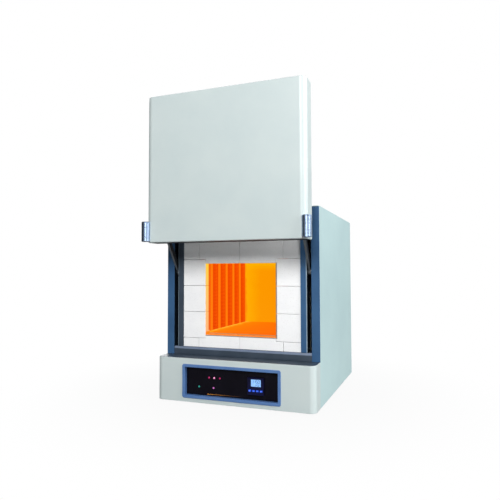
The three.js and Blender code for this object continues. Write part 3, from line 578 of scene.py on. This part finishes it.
def copyNodes(*nodes):
    # a merged copy of CAD nodes, with its flat faces whole again
    shape = bmesh.new()
    for node in nodes:
        shape.from_mesh(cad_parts[node].data)
    for face in shape.faces:
        face.material_index = 0
    bmesh.ops.remove_doubles(shape, verts=shape.verts, dist=1e-5)
    bmesh.ops.dissolve_limit(shape, angle_limit=math.radians(0.6), verts=shape.verts, edges=shape.edges)
    return shape


def softCopy(name, node, body, material, radius=0.6, segments=2, first=None, others=()):
    # a CAD node with its edges eased; first is (radius, chooser, segments) for edges that take more,
    # and others are (material, chooser) for faces with another finish
    shape = copyNodes(node)
    if first:
        bevelEdges(shape, first[0], first[1], first[2])
    bevelEdges(shape, radius, everyEdge, segments)
    materials = [material]
    shape.normal_update()
    for finish, chosen in others:
        materials.append(finish)
        for face in shape.faces:
            if chosen(face):
                face.material_index = len(materials) - 1
    return finishPiece(shape, name, body, materials, [node])


# one tree of nodes for pieces that repeat

def startTree(name, sockets):
    tree = bpy.data.node_groups.new(name, "GeometryNodeTree")
    for socket, kind in sockets.items():
        tree.interface.new_socket(socket, in_out="INPUT", socket_type="NodeSocket" + kind)
    tree.interface.new_socket("Geometry", in_out="OUTPUT", socket_type="NodeSocketGeometry")
    return tree, addNode(tree, "NodeGroupInput").outputs


def endTree(tree, instances, material):
    plain = addNode(tree, "GeometryNodeRealizeInstances", {}, {"Geometry": instances})
    painted = addNode(tree, "GeometryNodeSetMaterial", {}, {"Geometry": plain.outputs[0], "Material": material})
    addNode(tree, "NodeGroupOutput", {}, {0: painted.outputs[0]})


def runTree(name, tree, values, mesh=None):
    piece = bpy.data.objects.new(name, mesh or bpy.data.meshes.new(name))
    bpy.context.scene.collection.objects.link(piece)
    modifier = piece.modifiers.new("nodes", "NODES")
    modifier.node_group = tree
    for item in tree.interface.items_tree:
        if item.in_out == "INPUT" and item.name in values:
            modifier[item.identifier] = values[item.name]
    return plainMesh(piece)


repeatTree, repeatIn = startTree("repeatPart", {
    "Points": "Geometry", "Part": "Object", "Turn": "Rotation", "Material": "Material"})
partShape = addNode(repeatTree, "GeometryNodeObjectInfo", {}, {"Object": repeatIn["Part"]})
repeated = addNode(repeatTree, "GeometryNodeInstanceOnPoints", {}, {
    "Points": repeatIn["Points"], "Instance": partShape.outputs["Geometry"], "Rotation": repeatIn["Turn"]})
endTree(repeatTree, repeated.outputs[0], repeatIn["Material"])

turns = {  # how a part whose top looks up is turned to look along an axis
    "front": (math.pi / 2, 0, 0), "back": (-math.pi / 2, 0, 0), "up": (0, 0, 0), "down": (math.pi, 0, 0),
    "right": (0, math.pi / 2, 0), "left": (0, -math.pi / 2, 0),
}


def repeatPart(name, part, points, facing, material, body):
    mesh = bpy.data.meshes.new(name)
    mesh.from_pydata([at(*point) for point in points], [], [])
    piece = runTree(name, repeatTree, {"Part": part, "Turn": turns[facing], "Material": made[material]}, mesh)
    return tieDown(piece, body)


def partObject(shape, name):
    mesh = bpy.data.meshes.new(name)
    bmesh.ops.recalc_face_normals(shape, faces=shape.faces)
    shape.to_mesh(mesh)
    shape.free()
    mesh.polygons.foreach_set("use_smooth", [True] * len(mesh.polygons))
    mesh.set_sharp_from_angle(angle=math.radians(40))
    piece = bpy.data.objects.new(name, mesh)
    bpy.context.scene.collection.objects.link(piece)
    return piece


def makeScrewPart(radius, height):
    # pan head with a cross recess; twelve points round, so that the cross's corners meet the rim's
    arm = 0.56 * radius
    half = 0.15 * radius
    cross = [(arm, -half), (arm, half), (half, half), (half, arm), (-half, arm), (-half, half),
             (-arm, half), (-arm, -half), (-half, -half), (-half, -arm), (half, -arm), (half, -half)]
    angles = [math.atan2(y, x) for x, y in cross]
    levels = [(1.0, 0.0), (1.0, 0.35), (0.86, 0.82), (0.68, 1.0)]
    rings = [[(radius * r * math.cos(a), radius * r * math.sin(a), height * z) for a in angles] for r, z in levels]
    rings.append([(x, y, height) for x, y in cross])
    rings.append([(0.8 * x, 0.8 * y, 0.35 * height) for x, y in cross])
    shape = bmesh.new()
    levels = [[shape.verts.new((x / 1000, y / 1000, z / 1000)) for x, y, z in ring] for ring in rings]
    for low, high in zip(levels, levels[1:]):
        for i in range(12):
            j = (i + 1) % 12
            shape.faces.new((low[i], low[j], high[j], high[i]))
    shape.faces.new(levels[0][::-1])
    shape.faces.new(levels[-1])
    return partObject(shape, "screwPart")


screwPart = makeScrewPart(3.4, 2.0)


# door

door = {"bottom": 471, "top": 901, "front": -72, "rear": -14, "topRound": 3.2, "edge": 0.5}


def makeDoor():
    bottom = door["bottom"] / 1000
    top = door["top"] / 1000
    rear = at(0, door["rear"] - 0.5, 0).y

    def outerRim(edge):
        heights = [v.co.z for v in edge.verts]
        level = all(abs(h - bottom) < 1e-4 for h in heights) or all(abs(h - top) < 1e-4 for h in heights)
        return level and min(v.co.y for v in edge.verts) < rear

    def underside(face):
        return face.normal.z < -0.99 and face.calc_center_median().z < bottom + 0.001

    # painted shade: the door's underside takes the near-black coat
    softCopy("doorShell", "door_shell", "door", "powderCoatLight", door["edge"], 2,
             (door["topRound"], outerRim, 5), [("powderCoatPaintedShade", underside)])
    softCopy("doorLiner", "door_liner", "door", "galvanisedSheet", 0.4)
    softCopy("doorInsulation", "door_insulation", "door", "ceramicFibreBoard", 3.0, 3)
    for side in ("left", "right"):
        node = "door_bracket_" + side
        softCopy("doorBracket" + side.title(), node, "door", "galvanisedSheet", 0.6)


seal = {"half": (124.0, 119.5), "middle": (0, -12.3, 639), "corner": 14, "strand": 1.25, "sway": 4.4, "lift": 0.42,
        "pitch": 17, "step": 1.6}


def makeSeal():
    # a flat braid of three yarns laid round the plug
    half, high = seal["half"]
    corner = seal["corner"]
    middleX, middleY, middleZ = seal["middle"]
    straights = [2 * (half - corner), 2 * (high - corner)] * 2
    arc = math.pi * corner / 2
    length = sum(straights) + 4 * arc
    waves = round(length / seal["pitch"])
    count = round(length / seal["step"])

    def pointAt(run):
        # a place on the rounded rectangle and its outward direction
        x, z, heading = -(half - corner), -high, 0.0
        for straight in straights:
            if run <= straight:
                break
            x += straight * math.cos(heading)
            z += straight * math.sin(heading)
            run -= straight
            if run <= arc:
                turned = run / corner
                cx, cz = x - corner * math.sin(heading), z + corner * math.cos(heading)
                heading += turned
                return cx + corner * math.sin(heading), cz - corner * math.cos(heading), heading
            cx, cz = x - corner * math.sin(heading), z + corner * math.cos(heading)
            heading += math.pi / 2
            x, z = cx + corner * math.sin(heading), cz - corner * math.cos(heading)
            run -= arc
        return x + run * math.cos(heading), z + run * math.sin(heading), heading

    shape = bmesh.new()
    for strand in range(3):
        points = []
        for i in range(count):
            x, z, heading = pointAt(i * length / count)
            phase = 2 * math.pi * (waves * i / count + strand / 3)
            sway = seal["sway"] * math.sin(phase)
            lift = seal["lift"] * math.sin(2 * phase)
            points.append((middleX + x + sway * math.sin(heading), middleY + lift, middleZ + z - sway * math.cos(heading)))
        tube(shape, points, seal["strand"], 8, True)
    bmesh.ops.recalc_face_normals(shape, faces=shape.faces)
    finishPiece(shape, "sealBraid", "door", ["braidedYarn"], ["door_seal"])


grip = {"radius": 13, "low": 474.0, "high": 532.0, "pitch": 3.6, "depth": 0.25, "rim": 1.6, "sides": 64}


def makeGrips():
    # turned bar with fine rings, cut to sit over the door's rounded corner
    tree, inputs = startTree("ringedBar", {
        "Radius": "Float", "Length": "Float", "Pitch": "Float", "Depth": "Float", "Rim": "Float", "Sides": "Int",
        "Foot": "Vector", "Material": "Material"})
    steps = addNode(tree, "ShaderNodeMath", {"operation": "DIVIDE"}, {0: inputs["Length"], 1: inputs["Pitch"]})
    points = addNode(tree, "ShaderNodeMath", {"operation": "MULTIPLY"}, {0: steps.outputs[0], 1: 8.0})
    top = addNode(tree, "ShaderNodeCombineXYZ", {}, {"Z": inputs["Length"]})
    line = addNode(tree, "GeometryNodeCurvePrimitiveLine", {}, {"Start": (0, 0, 0), "End": top.outputs[0]})
    dense = addNode(tree, "GeometryNodeResampleCurve", {}, {"Curve": line.outputs[0], "Count": points.outputs[0]})
    run = addNode(tree, "GeometryNodeSplineParameter").outputs["Length"]
    turn = addNode(tree, "ShaderNodeMath", {"operation": "DIVIDE"}, {0: run, 1: inputs["Pitch"]})
    angle = addNode(tree, "ShaderNodeMath", {"operation": "MULTIPLY"}, {0: turn.outputs[0], 1: 2 * math.pi})
    wave = addNode(tree, "ShaderNodeMath", {"operation": "COSINE"}, {0: angle.outputs[0]})
    dip = addNode(tree, "ShaderNodeMapRange", {}, {
        "Value": wave.outputs[0], "From Min": -1.0, "From Max": 1.0, "To Min": 0.0, "To Max": inputs["Depth"]})
    back = addNode(tree, "ShaderNodeMath", {"operation": "SUBTRACT"}, {0: inputs["Length"], 1: run})
    nearest = addNode(tree, "ShaderNodeMath", {"operation": "MINIMUM"}, {0: run, 1: back.outputs[0]})
    ease = addNode(tree, "ShaderNodeMapRange", {"interpolation_type": "SMOOTHSTEP"}, {
        "Value": nearest.outputs[0], "From Min": 0.0, "From Max": inputs["Rim"], "To Min": 0.0011, "To Max": 0.0})
    thin = addNode(tree, "ShaderNodeMath", {"operation": "SUBTRACT"}, {0: inputs["Radius"], 1: dip.outputs["Result"]})
    size = addNode(tree, "ShaderNodeMath", {"operation": "SUBTRACT"}, {0: thin.outputs[0], 1: ease.outputs["Result"]})
    section = addNode(tree, "GeometryNodeCurvePrimitiveCircle", {}, {"Resolution": inputs["Sides"], "Radius": 1.0})
    swept = addNode(tree, "GeometryNodeCurveToMesh", {}, {
        "Curve": dense.outputs[0], "Profile Curve": section.outputs[0], "Fill Caps": True})
    if "Scale" in swept.inputs:
        tree.links.new(size.outputs[0], swept.inputs["Scale"])
    else:
        sized = addNode(tree, "GeometryNodeSetCurveRadius", {}, {"Curve": dense.outputs[0], "Radius": size.outputs[0]})
        tree.links.new(sized.outputs[0], swept.inputs["Curve"])
    placed = addNode(tree, "GeometryNodeTransform", {}, {"Geometry": swept.outputs[0], "Translation": inputs["Foot"]})
    endTree(tree, placed.outputs[0], inputs["Material"])
    for side, sign in (("left", -1), ("right", 1)):
        name = "doorGrip" + side.title()
        piece = runTree(name, tree, {
            "Radius": grip["radius"] / 1000, "Length": (grip["high"] - grip["low"]) / 1000,
            "Pitch": grip["pitch"] / 1000, "Depth": grip["depth"] / 1000, "Rim": grip["rim"] / 1000,
            "Sides": grip["sides"], "Foot": at(sign * 240, -72, grip["low"]), "Material": made["anodisedAluminium"]})
        cutter = cornerBlock()
        notch = piece.modifiers.new("notch", "BOOLEAN")
        notch.object = cutter
        notch.solver = "EXACT"
        plainMesh(piece)
        bpy.data.objects.remove(cutter)
        shape = bmesh.new()
        shape.from_mesh(piece.data)
        bpy.data.objects.remove(piece)
        bmesh.ops.remove_doubles(shape, verts=shape.verts, dist=1e-6)
        finishPiece(shape, name, "door", ["anodisedAluminium"], ["door_grip_" + side])


def cornerBlock():
    # the door's plan, a hair wider, as a solid that cuts the grips
    half, front, radius = 240.3, -72.3, 18.3
    outline = [(half, -14), (-half, -14)]
    for k in range(13):
        a = math.pi + k * math.pi / 24
        outline.append((-half + radius + radius * math.cos(a), front + radius + radius * math.sin(a)))
    for k in range(13):
        a = 1.5 * math.pi + k * math.pi / 24
        outline.append((half - radius + radius * math.cos(a), front + radius + radius * math.sin(a)))
    shape = bmesh.new()
    loft(shape, [[(x, y, z) for x, y in outline] for z in (470, 536)])
    return partObject(shape, "cornerBlock")


makeDoor()
makeSeal()
makeGrips()
print("door is made")


# cabinet, posts and base

def sloping(face):
    return 0.15 < face.normal.z < 0.5 and face.normal.y < 0


def slotEdge(edge):
    # the upright front edge of an inner post, next to its slot
    front = at(0, 60, 0).y
    return all(abs(abs(v.co.x) - 0.206) < 1e-4 and abs(v.co.y - front) < 1e-4 for v in edge.verts)


def slotFace(face):
    # the sides of a slot, and all that lies behind the front faces
    return abs(face.normal.x) > 0.9 and 0.2055 < abs(face.calc_center_median().x) < 0.2195


def slotRound(face):
    return abs(face.calc_center_median().x) > 0.2035 and face.normal.y < -0.08 and abs(face.normal.x) > 0.08


def makeCabinet():
    for side in ("left", "right"):
        title = side.title()
        softCopy("sidePanel" + title, "side_panel_" + side, "cabinet", "powderCoatCool", 0.9, 3)
        # painted shade: the sides of each slot take the near-black coat
        softCopy("outerPost" + title, "outer_post_" + side, "cabinet", "powderCoatBlue", 0.8, 3,
                 others=[("powderCoatPaintedShade", slotFace)])
        # painted shade: the left inner post takes the darker slate coat in place of the blue, standing in for the shade
        # on that side
        coat = "powderCoatSlate" if side == "left" else "powderCoatBlue"  # the left one looks darker
        # painted highlight: the inner post's rounded slot edge takes the pale coat
        softCopy("innerPost" + title, "inner_post_" + side, "cabinet", coat, 0.8, 3,
                 (2.4, slotEdge, 4), [("powderCoatPaintedHighlight", slotRound), ("powderCoatPaintedShade", slotFace)])
    softCopy("topPanel", "top_panel", "cabinet", "powderCoatCool", 0.8, 3)
    softCopy("rearPanel", "rear_panel", "cabinet", "powderCoatCool", 0.5)
    softCopy("headRail", "head_rail", "cabinet", "powderCoatBlue", 0.8)
    # painted sheen: the sill's sloping nose takes the lighter slate
    softCopy("sillRail", "sill_rail", "cabinet", "powderCoatSlate", 0.8, 3,
             others=[("powderCoatPaintedSheen", sloping)])
    softCopy("baseCover", "base_front_cover", "cabinet", "powderCoatLight", 0.9, 3)
    softCopy("baseLedge", "base_top_plate", "cabinet", "powderCoatSlate", 0.8, 3)
    softCopy("basePan", "base_pan", "cabinet", "galvanisedSheet", 0.5)
    softCopy("powerController", "power_controller", "cabinet", "extrudedAluminium", 0.5)


foot = {"radius": 14, "height": 4.7, "places": [(-198, 45), (198, 45), (-198, 550), (198, 550)]}


def makeFeet():
    names = ["front_left", "front_right", "rear_left", "rear_right"]
    radius = foot["radius"]
    profile = [(3.2, 2.4), (3.8, 2.4), (4.3, 0.4), (5.0, 0.0), (radius - 2.0, 0.0), (radius - 0.7, 0.5),
               (radius, 1.4), (radius, 3.4), (radius - 0.8, 4.3), (radius - 1.6, foot["height"])]
    for (x, y), name in zip(foot["places"], names):
        shape = bmesh.new()
        loft(shape, [circle((x, y, z), "z", r, 40) for r, z in profile])
        bmesh.ops.recalc_face_normals(shape, faces=shape.faces)
        finishPiece(shape, "foot_" + name, "cabinet", ["pressedRubber"], ["foot_" + name])


louvre = {"length": 51, "width": 8.4, "proud": 3.0, "wall": 0.7, "columns": (-90, 30), "rows": (36, 500), "pitch": 12,
          "count": 7}


def makeLouvres():
    # a pressed hood over each vent slot, open to one side
    length, width, proud, wall = (louvre[key] / 1000 for key in ("length", "width", "proud", "wall"))
    across, along = 6, 14
    shape = bmesh.new()
    shells = []
    for inner in (0, 1):
        rows = []
        for j in range(along + 1):
            t = 2 * j / along - 1
            swell = max(0.0, 1 - abs(t) ** 5)
            row = []
            for i in range(across + 1):
                u = i / across
                rise = proud * swell * math.sin(u * math.pi / 2) - inner * wall
                row.append(shape.verts.new((width * (u - 0.5), (length - 2 * inner * wall) / 2 * t, max(rise, -0.0004))))
            rows.append(row)
        shells.append(rows)
    for inner, rows in enumerate(shells):
        for j in range(along):
            for i in range(across):
                quad = (rows[j][i], rows[j][i + 1], rows[j + 1][i + 1], rows[j + 1][i])
                shape.faces.new(quad[::-1] if inner else quad)
    outer, inside = shells
    rim = [(j, 0) for j in range(along + 1)] + [(along, i) for i in range(1, across + 1)]
    rim += [(j, across) for j in range(along - 1, -1, -1)] + [(0, i) for i in range(across - 1, 0, -1)]
    for (j, i), (m, n) in zip(rim, rim[1:] + rim[:1]):
        shape.faces.new((outer[j][i], outer[m][n], inside[m][n], inside[j][i]))
    part = partObject(shape, "louvrePart")
    points = []
    for z in louvre["rows"]:
        for x in louvre["columns"]:
            for i in range(louvre["count"]):
                points.append((x + i * louvre["pitch"] + 2, 595, z + 22.5))
    repeatPart("rearLouvres", part, points, "back", "powderCoatCool", "cabinet")
    bpy.data.objects.remove(part)


def makeScrews():
    rear = [(x, 595, z) for x in (-228, -76, 76, 228) for z in (14, 564)]
    rear += [(x, 595, z) for x in (-228, 228) for z in (150, 290, 430)]
    repeatPart("rearScrews", screwPart, rear, "back", "zincPlate", "cabinet")
    liner = [(x, -14.3, z) for x in (-225, 225) for z in (488, 700, 884)]
    liner += [(x, -14.3, z) for x in (-80, 80) for z in (484, 884)]
    repeatPart("linerScrews", screwPart, liner, "back", "zincPlate", "door")
    pan = [(x, y, 5) for x in (-170, 170) for y in (110, 300, 490)]
    repeatPart("panScrews", screwPart, pan, "down", "zincPlate", "cabinet")
    top = [(x, y, 573) for x in (-225, 225) for y in (90, 330, 565)]
    repeatPart("topScrews", screwPart, top, "up", "zincPlate", "cabinet")


makeCabinet()
makeFeet()
makeLouvres()
makeScrews()
print("cabinet is made")


# brickwork and chamber

brickwork = {"front": 62, "back": 92, "edge": 0.9, "joint": 0.5, "half": 187, "mouth": 113, "split": 135,
             "low": 156.8, "columnLow": 184, "course": 80, "topLow": 424, "top": 488,
             "mouthLow": 194.5, "mouthHigh": 411.5}


def addBrick(shape, outline):
    # one brick from its front outline, drawn anticlockwise seen from the front
    front = [shape.verts.new(at(x, brickwork["front"], z)) for x, z in outline]
    back = [shape.verts.new(at(x, brickwork["back"], z)) for x, z in outline]
    count = len(outline)
    shape.faces.new(front)
    shape.faces.new(back[::-1])
    for i in range(count):
        j = (i + 1) % count
        shape.faces.new((front[j], front[i], back[i], back[j]))


def makeBricks():
    b = brickwork
    joint = b["joint"]
    half, mouth, split = b["half"], b["mouth"], b["split"]
    for side, sign in (("left", -1), ("right", 1)):
        for i in range(3):
            low = b["columnLow"] + i * b["course"]
            shape = bmesh.new()
            addBrick(shape, [(sign * mouth, low + joint), (sign * half, low + joint),
                             (sign * half, low + b["course"] - joint), (sign * mouth, low + b["course"] - joint)])
            bmesh.ops.recalc_face_normals(shape, faces=shape.faces)
            bevelEdges(shape, b["edge"], everyEdge, 3)
            name = "front_brick_{}_{}".format(side, i + 1)
            finishPiece(shape, "brick" + side.title() + str(i + 1), "cabinet",
                        ["insulatingFirebrick"], [name])
    courses = {
        "courseTop": ("front_course_top", b["topLow"] + joint, b["mouthHigh"], b["top"]),
        "courseBottom": ("front_course_bottom", b["columnLow"] - joint, b["mouthLow"], b["low"]),
    }
    for name, (node, inner, lip, outer) in courses.items():
        shape = bmesh.new()
        for sign in (-1, 1):
            addBrick(shape, [(sign * half, inner), (sign * half, outer), (sign * (split + joint), outer),
                             (sign * (split + joint), inner)])
            near = mouth - joint
            addBrick(shape, [(sign * (split - joint), inner), (sign * (split - joint), outer), (sign * joint, outer),
                             (sign * joint, lip), (sign * near, lip), (sign * near, inner)])
        bmesh.ops.recalc_face_normals(shape, faces=shape.faces)
        bevelEdges(shape, b["edge"], everyEdge, 3)
        finishPiece(shape, name, "cabinet", ["insulatingFirebrick"], [node])




def makeCoils():
    tree, inputs = startTree("heatingCoils", {
        "Coil Radius": "Float", "Wire Radius": "Float", "Turns": "Float", "Height": "Float", "Count": "Int",
        "First": "Vector", "Spacing": "Vector", "Material": "Material"})
    spiral = addNode(tree, "GeometryNodeCurveSpiral", {}, {
        "Resolution": 14, "Rotations": inputs["Turns"], "Start Radius": inputs["Coil Radius"],
        "End Radius": inputs["Coil Radius"], "Height": inputs["Height"]})
    section = addNode(tree, "GeometryNodeCurvePrimitiveCircle", {}, {"Resolution": 6, "Radius": inputs["Wire Radius"]})
    wound = addNode(tree, "GeometryNodeCurveToMesh", {}, {
        "Curve": spiral.outputs[0], "Profile Curve": section.outputs[0], "Fill Caps": True})
    smooth = addNode(tree, "GeometryNodeSetShadeSmooth", {}, {"Geometry": wound.outputs[0]})
    places = addNode(tree, "GeometryNodeMeshLine", {}, {
        "Count": inputs["Count"], "Start Location": inputs["First"], "Offset": inputs["Spacing"]})
    rows = addNode(tree, "GeometryNodeInstanceOnPoints", {}, {"Points": places.outputs[0], "Instance": smooth.outputs[0]})
    endTree(tree, rows.outputs[0], inputs["Material"])
    height = coils["high"] - coils["low"]
    for side, sign in (("left", -1), ("right", 1)):
        piece = runTree("heater" + side.title(), tree, {
            "Coil Radius": coils["radius"] / 1000, "Wire Radius": coils["wire"] / 1000,
            "Turns": height / coils["pitch"], "Height": height / 1000, "Count": coils["count"],
            "First": at(sign * coils["x"], coils["first"], coils["low"]),
            "Spacing": (0, coils["spacing"] / 1000, 0), "Material": made["glowingWire"]})
        shape = bmesh.new()
        shape.from_mesh(piece.data)
        bpy.data.objects.remove(piece)
        for i in range(coils["count"] - 1):
            z = coils["linkZ"][i % 2]
            y = coils["first"] + i * coils["spacing"]
            points = [(sign * coils["linkX"], y + coils["spacing"] * k / 8, z) for k in range(9)]
            tube(shape, points, 1.6, 8)
        bmesh.ops.recalc_face_normals(shape, faces=shape.faces)
        finishPiece(shape, "heater" + side.title(), "cabinet", ["glowingWire"], ["heater_" + side])


def makeChamber():
    for side in ("left", "right"):
        softCopy("heaterWall" + side.title(), "heater_wall_" + side, "cabinet", "glowingFibreWall", 0.8)
    softCopy("chamberRoof", "chamber_roof", "cabinet", "glowingBackWall", 1.0)
    softCopy("chamberBack", "chamber_back", "cabinet", "glowingBackWall", 0.6)
    softCopy("hearthBlock", "hearth_block", "cabinet", "glowingBackWall", 1.0)
    softCopy("hearthPlate", "hearth_plate", "cabinet", "glowingHearth", 1.6, 3)
    softCopy("backupInsulation", "backup_insulation", "cabinet", "ceramicFibreBoard", 2.0)
    softCopy("thermocouple", "thermocouple", "cabinet", "glowingSheath", 0.8)
    flue = [(14.4, 422.0), (15.0, 422.8), (15.0, 598.0), (14.2, 599.0), (10.8, 599.0), (10.0, 598.2),
             (10.0, 422.8), (10.6, 422.0)]
    shape = bmesh.new()
    loft(shape, [circle((62, y, 372), "y", radius, 48) for radius, y in flue], True)
    bmesh.ops.recalc_face_normals(shape, faces=shape.faces)
    finishPiece(shape, "flueTube", "cabinet", ["firedAlumina"], ["flue_tube"])


makeBricks()
makeCoils()
makeChamber()
print("brickwork and chamber are made")


# control panel

panel = {"lamps": [(-76.5, 77.4, 1), (-60.4, 77.4, 2), (-42.3, 77.4, 1), (-108.8, 49.4, 3), (-62.4, 48.6, 4)],
         "lampRadius": 2.6, "line": (-82.7, 29.5, 26, 30.6), "keyPitch": 11.3, "keyX": 70, "keyZ": 52}


def makeLampBoard():
    shape = bmesh.new()
    board = bmesh.ops.create_cube(shape, size=1)["verts"]
    low, high = at(-122, 14.3, 38), at(-30, 16.3, 88)
    for vertex in board:
        vertex.co = Vector([low[k] if vertex.co[k] < 0 else high[k] for k in range(3)])
    bevelEdges(shape, 0.4, everyEdge, 2)
    r = panel["lampRadius"]
    for x, z, finish in panel["lamps"]:
        dome = [(r, 14.6), (r, 11.9), (r * 0.93, 11.45), (r * 0.72, 11.15), (r * 0.38, 11.02), (r * 0.1, 11.0)]
        loft(shape, [circle((x, y, z), "y", radius, 20) for radius, y in dome], False, finish)
    bmesh.ops.recalc_face_normals(shape, faces=shape.faces)
    finishPiece(shape, "lampBoard", "cabinet", ["circuitBoard", "ledRose", "ledPink", "ledGreen", "ledViolet"],
                ["indicator_board"])


def roundedRing(x, z, halfWidth, halfHeight, corner, y, steps=5):
    ring = []
    for cx, cz, start in ((1, -1, -0.5), (1, 1, 0.0), (-1, 1, 0.5), (-1, -1, 1.0)):
        for k in range(steps + 1):
            a = math.pi * (start + 0.5 * k / steps)
            ring.append((x + cx * (halfWidth - corner) + corner * math.cos(a), y,
                         z + cz * (halfHeight - corner) + corner * math.sin(a)))
    return ring


def makeKeys():
    marks = ["round", "down", "up", "round"]
    for i, mark in enumerate(marks):
        x = panel["keyX"] + (i - 1.5) * panel["keyPitch"]
        z = panel["keyZ"]
        shape = bmesh.new()
        levels = [(0.0, 6.2), (0.0, 3.7), (0.25, 3.25), (0.7, 2.98), (1.2, 2.86)]
        loft(shape, [roundedRing(x, z, 3.8 - inset, 2.6 - inset, 1.5 - 0.3 * inset, y) for inset, y in levels])
        if mark == "round":
            loft(shape, [circle((x, y, z), "y", r, 16) for r, y in ((0.85, 2.95), (0.85, 2.82), (0.7, 2.8))], False, 1)
        else:
            sign = 1 if mark == "up" else -1
            corners = [(-1.0, -0.6), (1.0, -0.6), (0.0, 0.9)]
            loft(shape, [[(x + s * a, y, z + s * sign * c) for a, c in corners]
                         for s, y in ((1.0, 2.95), (1.0, 2.82), (0.85, 2.8))], False, 1)
        bmesh.ops.recalc_face_normals(shape, faces=shape.faces)
        name = "controller_button_" + str(i + 1)
        finishPiece(shape, "key" + str(i + 1), "button_" + str(i + 1), ["siliconeKey", "printedInk"], [name])


digits = {"1": "bc", "2": "abged", "0": "abcdef", "5": "afgcd"}
readings = [  # text, left, bottom, height
    ("1150", 59.6, 73.6, 8.0),
    ("1200", 67.0, 65.6, 5.0),
]


def makeDigits():
    # seven-segment figures, raised a little from the window
    shape = bmesh.new()
    for text, left, bottom, height in readings:
        width = 0.52 * height
        for position, figure in enumerate(text):
            x0 = left + position * 1.48 * width
            segments = {
                "a": (x0, bottom + height, 1), "g": (x0, bottom + height / 2, 1), "d": (x0, bottom, 1),
                "f": (x0, bottom + height / 2, 0), "b": (x0 + width, bottom + height / 2, 0),
                "e": (x0, bottom, 0), "c": (x0 + width, bottom, 0),
            }
            for letter in digits[figure]:
                x, z, flat = segments[letter]
                reach = width if flat else height / 2
                t = 0.055 * height
                outline = [(0.08, 0), (0.16, t), (reach - 0.16, t), (reach - 0.08, 0), (reach - 0.16, -t), (0.16, -t)]
                points = [(x + a, z + b) if flat else (x - b, z + a) for a, b in outline]
                loft(shape, [[(px, y, pz) for px, pz in points] for y in (4.0, 3.92)])
    bmesh.ops.recalc_face_normals(shape, faces=shape.faces)
    finishPiece(shape, "displayFigures", "cabinet", ["crystalSegment"])


def makePanel():
    front = at(0, -2.5, 0).y
    plate = at(0, 4, 0).y

    def frontEdge(edge):
        return all(abs(v.co.y - front) < 1e-4 for v in edge.verts)

    def caseEdge(edge):
        return all(abs(v.co.y - plate) < 1e-4 for v in edge.verts) and edge.calc_length() > 0.035

    softCopy("panelBezel", "panel_bezel", "cabinet", "mouldedBlue", 0.4, 2, (1.5, frontEdge, 4))
    softCopy("panelPlate", "control_plate", "cabinet", "glossAcrylic", 0.25)
    softCopy("instrumentCase", "controller_body", "cabinet", "mouldedInk", 0.2, 2, (1.2, caseEdge, 3))
    softCopy("instrumentWindow", "controller_display", "cabinet", "backlitCrystal", 0.2)
    softCopy("mainsInlet", "mains_inlet", "cabinet", "mouldedNylon", 0.5)
    left, low, right, high = panel["line"]
    shape = bmesh.new()
    rings = []
    for k in range(13):
        t = k / 12
        x = left + t * (right - left)
        half = 0.55 * (1 - t) + 0.12
        z = low + t * (high - low)
        rings.append([(x, 12.05, z - half), (x, 11.9, z - half), (x, 11.9, z + half), (x, 12.05, z + half)])
    loft(shape, rings)
    bmesh.ops.recalc_face_normals(shape, faces=shape.faces)
    finishPiece(shape, "panelLine", "cabinet", ["printedOrange"])


def makeLineInk():
    # orange print that fades out along the line
    recipe = {"colour": "F0A040", "tint": "E89434", "patch": 6, "grain": 0.5, "depth": 0.02, "relief": 0.1,
              "roughness": (0.4, 0.5)}
    material, tree, shader, place, colour, bump = startFinish("printedOrange", recipe)
    along = addNode(tree, "ShaderNodeSeparateXYZ", {}, {0: place})
    fade = addNode(tree, "ShaderNodeMapRange", {}, {
        "Value": along.outputs["X"], "From Min": -0.081, "From Max": 0.03, "To Min": 0.0, "To Max": 1.0})
    mixed = addNode(tree, "ShaderNodeMix", {"data_type": "RGBA"}, {
        0: fade.outputs["Result"], 6: colour.outputs["Color"], 7: linear("241408")})
    tree.links.new(mixed.outputs[2], shader.inputs["Base Color"])
    made["printedOrange"] = material


makeLineInk()
makeLampBoard()
makeKeys()
makeDigits()
makePanel()
print("control panel is made")


# arms

def flatSide(face):
    return abs(face.normal.x) > 0.9 and face.calc_area() > 2e-4


def makeArms():
    softCopy("crossShaft", "cross_shaft", "lift_linkage", "groundSteel", 0.6)
    for side in ("left", "right"):
        title = side.title()
        for level, body in (("upper", "lift_linkage"), ("lower", side + "_guide_arm")):
            # painted shade: each arm's flats take the near-black steel
            softCopy(level + "Arm" + title, level + "_arm_" + side, body, "groundSteel", 0.5,
                     others=[("steelPaintedShade", flatSide)])


makeArms()
bpy.data.objects.remove(screwPart)
print("arms are made")
